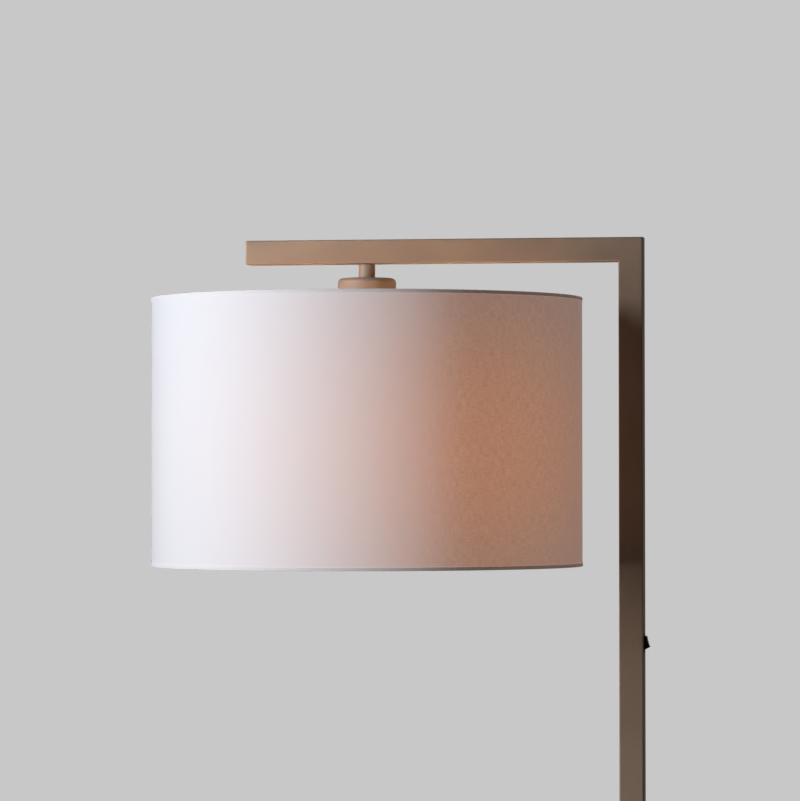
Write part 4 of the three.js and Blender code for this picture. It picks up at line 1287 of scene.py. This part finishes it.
        cloth, seam = self.tube("shade_cloth", "shade_fabric"), self.lap_seam()
        tapes = [
            self.edge_tape("tape_top", "shade_top_trim", True),
            self.edge_tape("tape_bottom", "shade_bottom_trim", False),
        ]
        for piece in (cloth, seam, *tapes):
            self.lay_cloth(piece)
            self.bench.smooth(piece)
        self.shop.fit(cloth, "cotton", "shade_fabric")
        self.shop.fit(seam, "cotton")
        self.shop.fit(tapes[0], "edge_tape", "shade_top_trim")
        self.shop.fit(tapes[1], "edge_tape", "shade_bottom_trim")


@dataclass
class Bulb(Assembly):
    """The opal globe and the collar that holds it."""

    radius: float = 30 * MM
    wall: float = 1.2 * MM
    arc_steps: int = 20
    sides: int = 72
    lip: float = 4 * MM
    gap: float = 0.3 * MM
    flare_steps: int = 14
    collar_wall: float = 1.1 * MM
    collar_ease: float = 0.4 * MM
    collar_chamfer: float = 2 * MM

    def build_globe(self) -> None:
        """Models the globe, and dresses it."""
        ball = Solid("bulb_globe")
        middle = ball.low.z + self.radius
        rise = math.asin((ball.high.z - middle) / self.radius)
        angles = [-math.pi / 2 + (rise + math.pi / 2) * i / self.arc_steps for i in range(self.arc_steps + 1)]
        outside, inside = (
            [(radius * math.cos(angle), middle + radius * math.sin(angle)) for angle in angles]
            for radius in (self.radius, self.radius - self.wall)
        )
        globe = self.bench.turned("globe", outside + inside[::-1], shade_axis(), self.sides)
        self.shop.fit(self.bench.smooth(globe), "opal_glass", "bulb_globe")

    def build_collar(self) -> None:
        """Models the collar, and dresses it."""
        neck, shell = Solid("bulb_collar"), Solid("bulb_shell")
        low, high, outer, inner = neck.low.z, neck.high.z, neck.radius, shell.radius - self.collar_wall
        rim, top = low + self.lip, shell.low.z - self.gap
        flare = [
            (outer + (shell.radius - outer) * (3 * t**2 - 2 * t**3), rim + (top - rim) * t)
            for t in (i / self.flare_steps for i in range(self.flare_steps + 1))
        ]
        collar = self.bench.turned("collar", [
            (0, low), (outer - self.collar_ease, low), (outer, low + self.collar_ease), *flare,
            (inner, top), (inner, high - self.collar_chamfer), (inner - self.collar_chamfer, high),
            (0, high),
        ], shade_axis(), self.sides)
        self.shop.fit(self.bench.smooth(collar), "white_plastic", "bulb_collar")

    def build(self) -> None:
        """Models the globe and collar, and dresses them."""
        self.build_globe()
        self.build_collar()


@dataclass
class RockerSwitch(Assembly):
    """The switch let into the post: a bevelled bezel over its housing, and the rocker in its well.

    The body is let into the bezel by the bite, a share of the bezel's thickness. The rocker's tips
    stand out from its pivot and along it by the two values of tip, and its flanks run round the
    pivot from the first to the second angle of flank, in degrees.
    """

    bezel_corner: float = 1.5 * MM
    bezel_bevel: float = 2 * MM
    bezel_steps: int = 6
    proud: float = 2.6 * MM
    well: Point = (16.2 * MM, 10.2 * MM)
    well_corner: float = 0.8 * MM
    well_depth: float = 11.2 * MM
    body: Point = (18.6 * MM, 12.4 * MM)
    body_corner: float = 0.5 * MM
    bite: float = 1 / 3
    rocker_radius: float = 7.4 * MM
    flank: Point = (70.0, 107.0)
    tip: Point = (7.1 * MM, 6 * MM)
    valley: float = 6.7 * MM
    play: float = 0.6 * MM
    rocker_steps: int = 6
    rocker_ease: float = 0.35 * MM
    rocker_ease_steps: int = 3
    tilt: float = 15.0
    pivot: Vector = field(default_factory=lambda: Vector(frame["record"]["behaviour"]["joints"][0]["pos_m"]))

    def housing(self) -> Object:
        """The bezel, the body behind it and the well, in one moulding.

        A fault is open here. The bezel's rim is rounded by more than its corners are, and the cut for
        the well then leaves only four faces of the moulding.

        Returns:
            The moulding.
        """
        case = Solid("switch_housing")
        face, height = case.high.x - self.proud, case.middle.z
        bezel = self.bench.block(
            "switch_bezel", (case.height, case.depth), self.bezel_corner, Vector((face, 0, height)),
            EAST * self.proud, FACING_EAST,
        )
        self.bench.round_rim(bezel, EAST, case.high.x, self.bezel_bevel, self.bezel_steps)
        body = self.bench.block(
            "switch_body", self.body, self.body_corner, Vector((case.low.x, 0, height)),
            EAST * (face + self.proud * self.bite - case.low.x), FACING_EAST,
        )
        self.bench.carve(bezel, body, carving=Carving.WELD)
        well = self.bench.block(
            "switch_well", self.well, self.well_corner, Vector((face - self.well_depth, 0, height)),
            EAST * (self.well_depth + 2 * self.proud), FACING_EAST,
        )
        self.bench.carve(bezel, well)
        return self.bench.smooth(bezel, weighted=True)

    def outline(self) -> list[Point]:
        """The rocker's outline, seen from its side.

        Returns:
            Its points, as the distance out from the pivot and along the rocker.
        """
        (height, reach), (first, last), steps = self.tip, self.flank, self.rocker_steps
        flank = [
            (self.rocker_radius * math.cos(angle), self.rocker_radius * math.sin(angle))
            for angle in (math.radians(first + (last - first) * i / steps) for i in range(steps + 1))
        ]
        dish = [
            (height + (self.valley - height) * (1 - (z / reach) ** 2), z)
            for z in (reach * (1 - i / steps) for i in range(2 * steps + 1))
        ]
        return [*reversed(flank), *dish, *((x, -z) for x, z in flank)]

    def rocker(self) -> Object:
        """The rocker: a dished face between two tips, its ends rounded about the pivot.

        Returns:
            The rocker.
        """
        bench, width = self.bench, self.well[1] - self.play
        turn = Matrix.Rotation(math.radians(-self.tilt), 3, "Y")
        places = [self.pivot + turn @ Vector((x, -width / 2, z)) for x, z in self.outline()]
        piece = bench.chain("rocker_key", places)
        with bench.editing(piece):
            bpy.ops.mesh.edge_face_add()
            bench.pull(NORTH * width)
            bench.settle()
            bench.pick(Part.EDGE, lambda edge: (
                abs(edge.verts[0].co.y - edge.verts[1].co.y) < bench.weld
                and abs(edge.verts[0].co.y) > width / 2 - bench.weld))
            bpy.ops.mesh.bevel(offset=self.rocker_ease, segments=self.rocker_ease_steps)
        return bench.smooth(piece, weighted=True)

    def build(self) -> None:
        """Models the switch and dresses it."""
        self.shop.fit(self.housing(), "black_plastic", "switch_housing")
        self.shop.fit(self.rocker(), "black_plastic", "switch_rocker", body=Body.ROCKER)


@dataclass
class HiddenWorks(Assembly):
    """The solids that stay as they are: weight, leads, terminals, nuts, screws and contacts."""

    def build(self) -> None:
        """Gives each of them the finish of its slot."""
        slots = {part["node"]: part["material_slot"] for part in frame["record"]["subparts"]}
        for name, node in frame["nodes"].items():
            if node.hide_render:
                continue
            material = self.shop.material(slots[name])
            for place in node.material_slots:
                place.material = material
            if not node.material_slots:
                node.data.materials.append(material)
            log.info("%s: finished as %s", name, slots[name])


@dataclass
class Studio:
    """Floor, backdrop, lights and camera. Angles are in degrees."""

    camera_place: Vector = field(default_factory=lambda: Vector((0.5386, -4.1418, 1.3051)))
    camera_yaw: float = 9.077
    camera_pitch: float = 1.051
    camera_roll: float = -0.06
    lens: float = 180.4
    sensor: float = 36.0
    backdrop: Colour = (0.578, 0.578, 0.578)
    fill: Colour = (1.0, 0.96, 0.90)
    fill_front: float = 0.004
    fill_right: float = 0.03
    fill_back: float = 0.20
    key_aim: Vector = field(default_factory=lambda: Vector((-0.158, 0, 1.40)))
    key_direction: Vector = field(default_factory=lambda: Vector((-0.728, -0.686, 0.131)))
    key_distance: float = 1.46
    key_size: Point = (0.36, 1.05)
    key_power: float = 15.7
    key_tint: Colour = (0.90, 0.95, 1.0)
    floor_radius: float = 11.0
    floor_sides: int = 96
    floor_drop: float = 0.2 * MM
    floor_colour: Colour = (0.62, 0.61, 0.60)
    floor_roughness: float = 0.7
    floor_lift: float = 0.46

    def build_world(self) -> None:
        """A plain backdrop for the camera, and a dim fill that is stronger from the right and behind."""
        world = bpy.data.worlds.new("studio")
        bpy.context.scene.world = world
        world.use_nodes = True
        wires = Wiring(world.node_tree)
        world.node_tree.nodes.clear()
        seen = wires.add("Background", {"Color": (*self.backdrop, 1.0)}).outputs[0]
        way = wires.add("SeparateXYZ", {0: wires.add("TexCoord").outputs["Generated"]})
        right, back = (wires.maths("MAXIMUM", way.outputs[axis], 0.0) for axis in ("X", "Y"))
        level = wires.maths("MULTIPLY_ADD", right, self.fill_right, self.fill_front)
        level = wires.maths("MULTIPLY_ADD", back, self.fill_back, level)
        felt = wires.add("Background", {"Color": (*self.fill, 1.0), "Strength": level}).outputs[0]
        straight = wires.add("LightPath").outputs["Is Camera Ray"]
        mixed = wires.add("MixShader", {0: straight, 1: felt, 2: seen}).outputs[0]
        wires.add("OutputWorld", {"Surface": mixed})

    def build_key(self) -> None:
        """One large soft source to the left of the camera, level with the shade."""
        data = bpy.data.lights.new("key", "AREA")
        data.shape = "RECTANGLE"
        data.size, data.size_y = self.key_size
        data.energy = self.key_power
        data.color = self.key_tint
        key = bpy.data.objects.new("key", data)
        bpy.context.scene.collection.objects.link(key)
        away = self.key_direction.normalized()
        key.location = self.key_aim + away * self.key_distance
        key.rotation_euler = (-away).to_track_quat("-Z", "Y").to_euler()
        key.visible_camera = False

    def build_floor(self) -> None:
        """A plain pale floor. The camera sees it lifted, as if lit by itself, and the lamp doesn't."""
        bpy.ops.object.select_all(action="DESELECT")
        bpy.ops.mesh.primitive_circle_add(
            vertices=self.floor_sides, radius=self.floor_radius, fill_type="NGON",
            location=(0, 0, -self.floor_drop),
        )
        floor = bpy.context.object
        floor.name = floor.data.name = "floor"
        material = bpy.data.materials.new("floor_paint")
        material.use_nodes = True
        wires = Wiring(material.node_tree)
        straight = wires.add("LightPath").outputs["Is Camera Ray"]
        lift = (self.floor_lift, self.floor_lift, self.floor_lift, 1.0)
        looks = {
            "Base Color": (*self.floor_colour, 1.0),
            "Roughness": self.floor_roughness,
            "Emission Color": wires.blend(straight, (0.0, 0.0, 0.0, 1.0), lift),
            "Emission Strength": 1.0,
        }
        for title, value in looks.items():
            wires.feed(material.node_tree.nodes["Principled BSDF"].inputs[title], value)
        floor.data.materials.append(material)

    def build_camera(self) -> None:
        """A long lens in front of the lamp, a little to the right of it."""
        yaw, pitch, roll = map(math.radians, (self.camera_yaw, self.camera_pitch, self.camera_roll))
        ahead = Vector((-math.sin(yaw) * math.cos(pitch), math.cos(yaw) * math.cos(pitch), math.sin(pitch)))
        right = Vector((math.cos(yaw), math.sin(yaw), 0))
        above = right.cross(ahead)
        across = math.cos(roll) * right + math.sin(roll) * above
        upward = -math.sin(roll) * right + math.cos(roll) * above
        data = bpy.data.cameras.new("camera")
        data.lens, data.sensor_width = self.lens, self.sensor
        camera = bpy.data.objects.new("camera", data)
        bpy.context.scene.collection.objects.link(camera)
        turn = Matrix((across, upward, -ahead)).transposed().to_4x4()
        camera.matrix_world = Matrix.Translation(self.camera_place) @ turn
        bpy.context.scene.camera = camera

    def build(self) -> None:
        """Sets up everything round the lamp."""
        self.build_world()
        self.build_key()
        self.build_floor()
        self.build_camera()
        bpy.context.scene.view_settings.view_transform = "Standard"


FINISHES = (
    Finish("bronze", (0.565, 0.390, 0.278), 0.5, 0.15, 0.10, 0.9 * MM, 0.012 * MM,
           worn=(0.56, 0.38, 0.28)),
    # Painted light: the turned bronze is the tubes' bronze painted lighter, for the brighter light that the
    # cup and stem catch.
    Finish("bronze", (0.66, 0.475, 0.36), 0.6, 0.15, 0.05, 0.7 * MM, 0.012 * MM, Texture.TURNED,
           worn=(0.56, 0.38, 0.28), name="turned_bronze_painted_lighter"),
    Finish("cast_iron", (0.043, 0.042, 0.041), 0.75, 0.6, 0.18, 1.6 * MM, 0.25 * MM,
           worn=(0.12, 0.11, 0.10)),
    Finish("zinc", (0.46, 0.47, 0.48), 0.36, 0.9, 0.14, 0.5 * MM, 0.01 * MM, Texture.DRAWN,
           worn=(0.6, 0.6, 0.6)),
    Finish("brass", (0.57, 0.39, 0.11), 0.3, 0.95, 0.1, 0.5 * MM, 0.01 * MM, Texture.DRAWN,
           worn=(0.7, 0.52, 0.2)),
    Finish("black_plastic", (0.012, 0.011, 0.011), 0.42, 0, 0.15, 0.35 * MM, 0.02 * MM,
           worn=(0.03, 0.03, 0.03)),
    Finish("white_plastic", (0.82, 0.80, 0.75), 0.45, 0, 0.03, 0.5 * MM, 0.01 * MM,
           worn=(0.86, 0.84, 0.8)),
    Finish("foam", (0.012, 0.012, 0.012), 0.95, 0, 0.25, 1.1 * MM, 0.35 * MM, sheen=0.1),
    # Painted light: the cotton's glow and through are emission painted on the cloth, in a patch on one side
    # and all round, for light passing through it.
    Finish("cotton", (0.86, 0.87, 0.915), 0.9, 0, 0.08, 0.45 * MM, 0.03 * MM, Texture.WOVEN,
           sheen=0.15, glow=(0.376, 0.166, 0.088), through=(0.134, 0.120, 0.118), thick=0.25),
    # Painted light: the edge tape's glow is a faint warm emission painted evenly all over the tapes.
    Finish("cotton", (0.97, 0.95, 0.97), 0.85, 0, 0.02, 0.45 * MM, 0.03 * MM, Texture.WOVEN,
           glow=(0.08, 0.047, 0.033), through=(0.08, 0.047, 0.033), thick=0.18, name="edge_tape"),
    Finish("liner", (0.88, 0.86, 0.82), 0.5, 0, 0.02, 2 * MM, 0.01 * MM),
    Finish("opal_glass", (0.9, 0.88, 0.84), 0.3, 0, 0.02, 5 * MM, 0.005 * MM, coat=0.3,
           glow=(1.0, 0.578, 0.289), power=36.0),
    Finish("white_enamel", (0.78, 0.77, 0.74), 0.35, 0, 0.04, 0.9 * MM, 0.012 * MM,
           worn=(0.7, 0.69, 0.66), coat=0.2),
    Finish("brown_sheath", (0.147, 0.049, 0.016), 0.5, 0, 0.08, 0.6 * MM, 0.01 * MM),
    Finish("blue_sheath", (0.025, 0.122, 0.434), 0.5, 0, 0.08, 0.6 * MM, 0.01 * MM),
    Finish("green_sheath", (0.078, 0.323, 0.045), 0.5, 0, 0.08, 0.6 * MM, 0.01 * MM),
)


def corners(bounds: Sequence[Vector]) -> list[list[float]]:
    """A box's two corners as plain lists."""
    return [[float(value) for value in corner] for corner in bounds]


def main() -> None:
    """Builds the lamp and the studio."""
    logging.basicConfig(level=logging.INFO, format="%(name)s: %(message)s")
    bench, shop = Bench(), PaintShop(FINISHES)
    Studio().build()
    for assembly in (PostAndArm, Base, Suspension, Shade, Bulb, RockerSwitch, HiddenWorks):
        log.info("building %s", assembly.__name__)
        assembly(bench, shop).build()


if __name__ == "__main__":
    main()
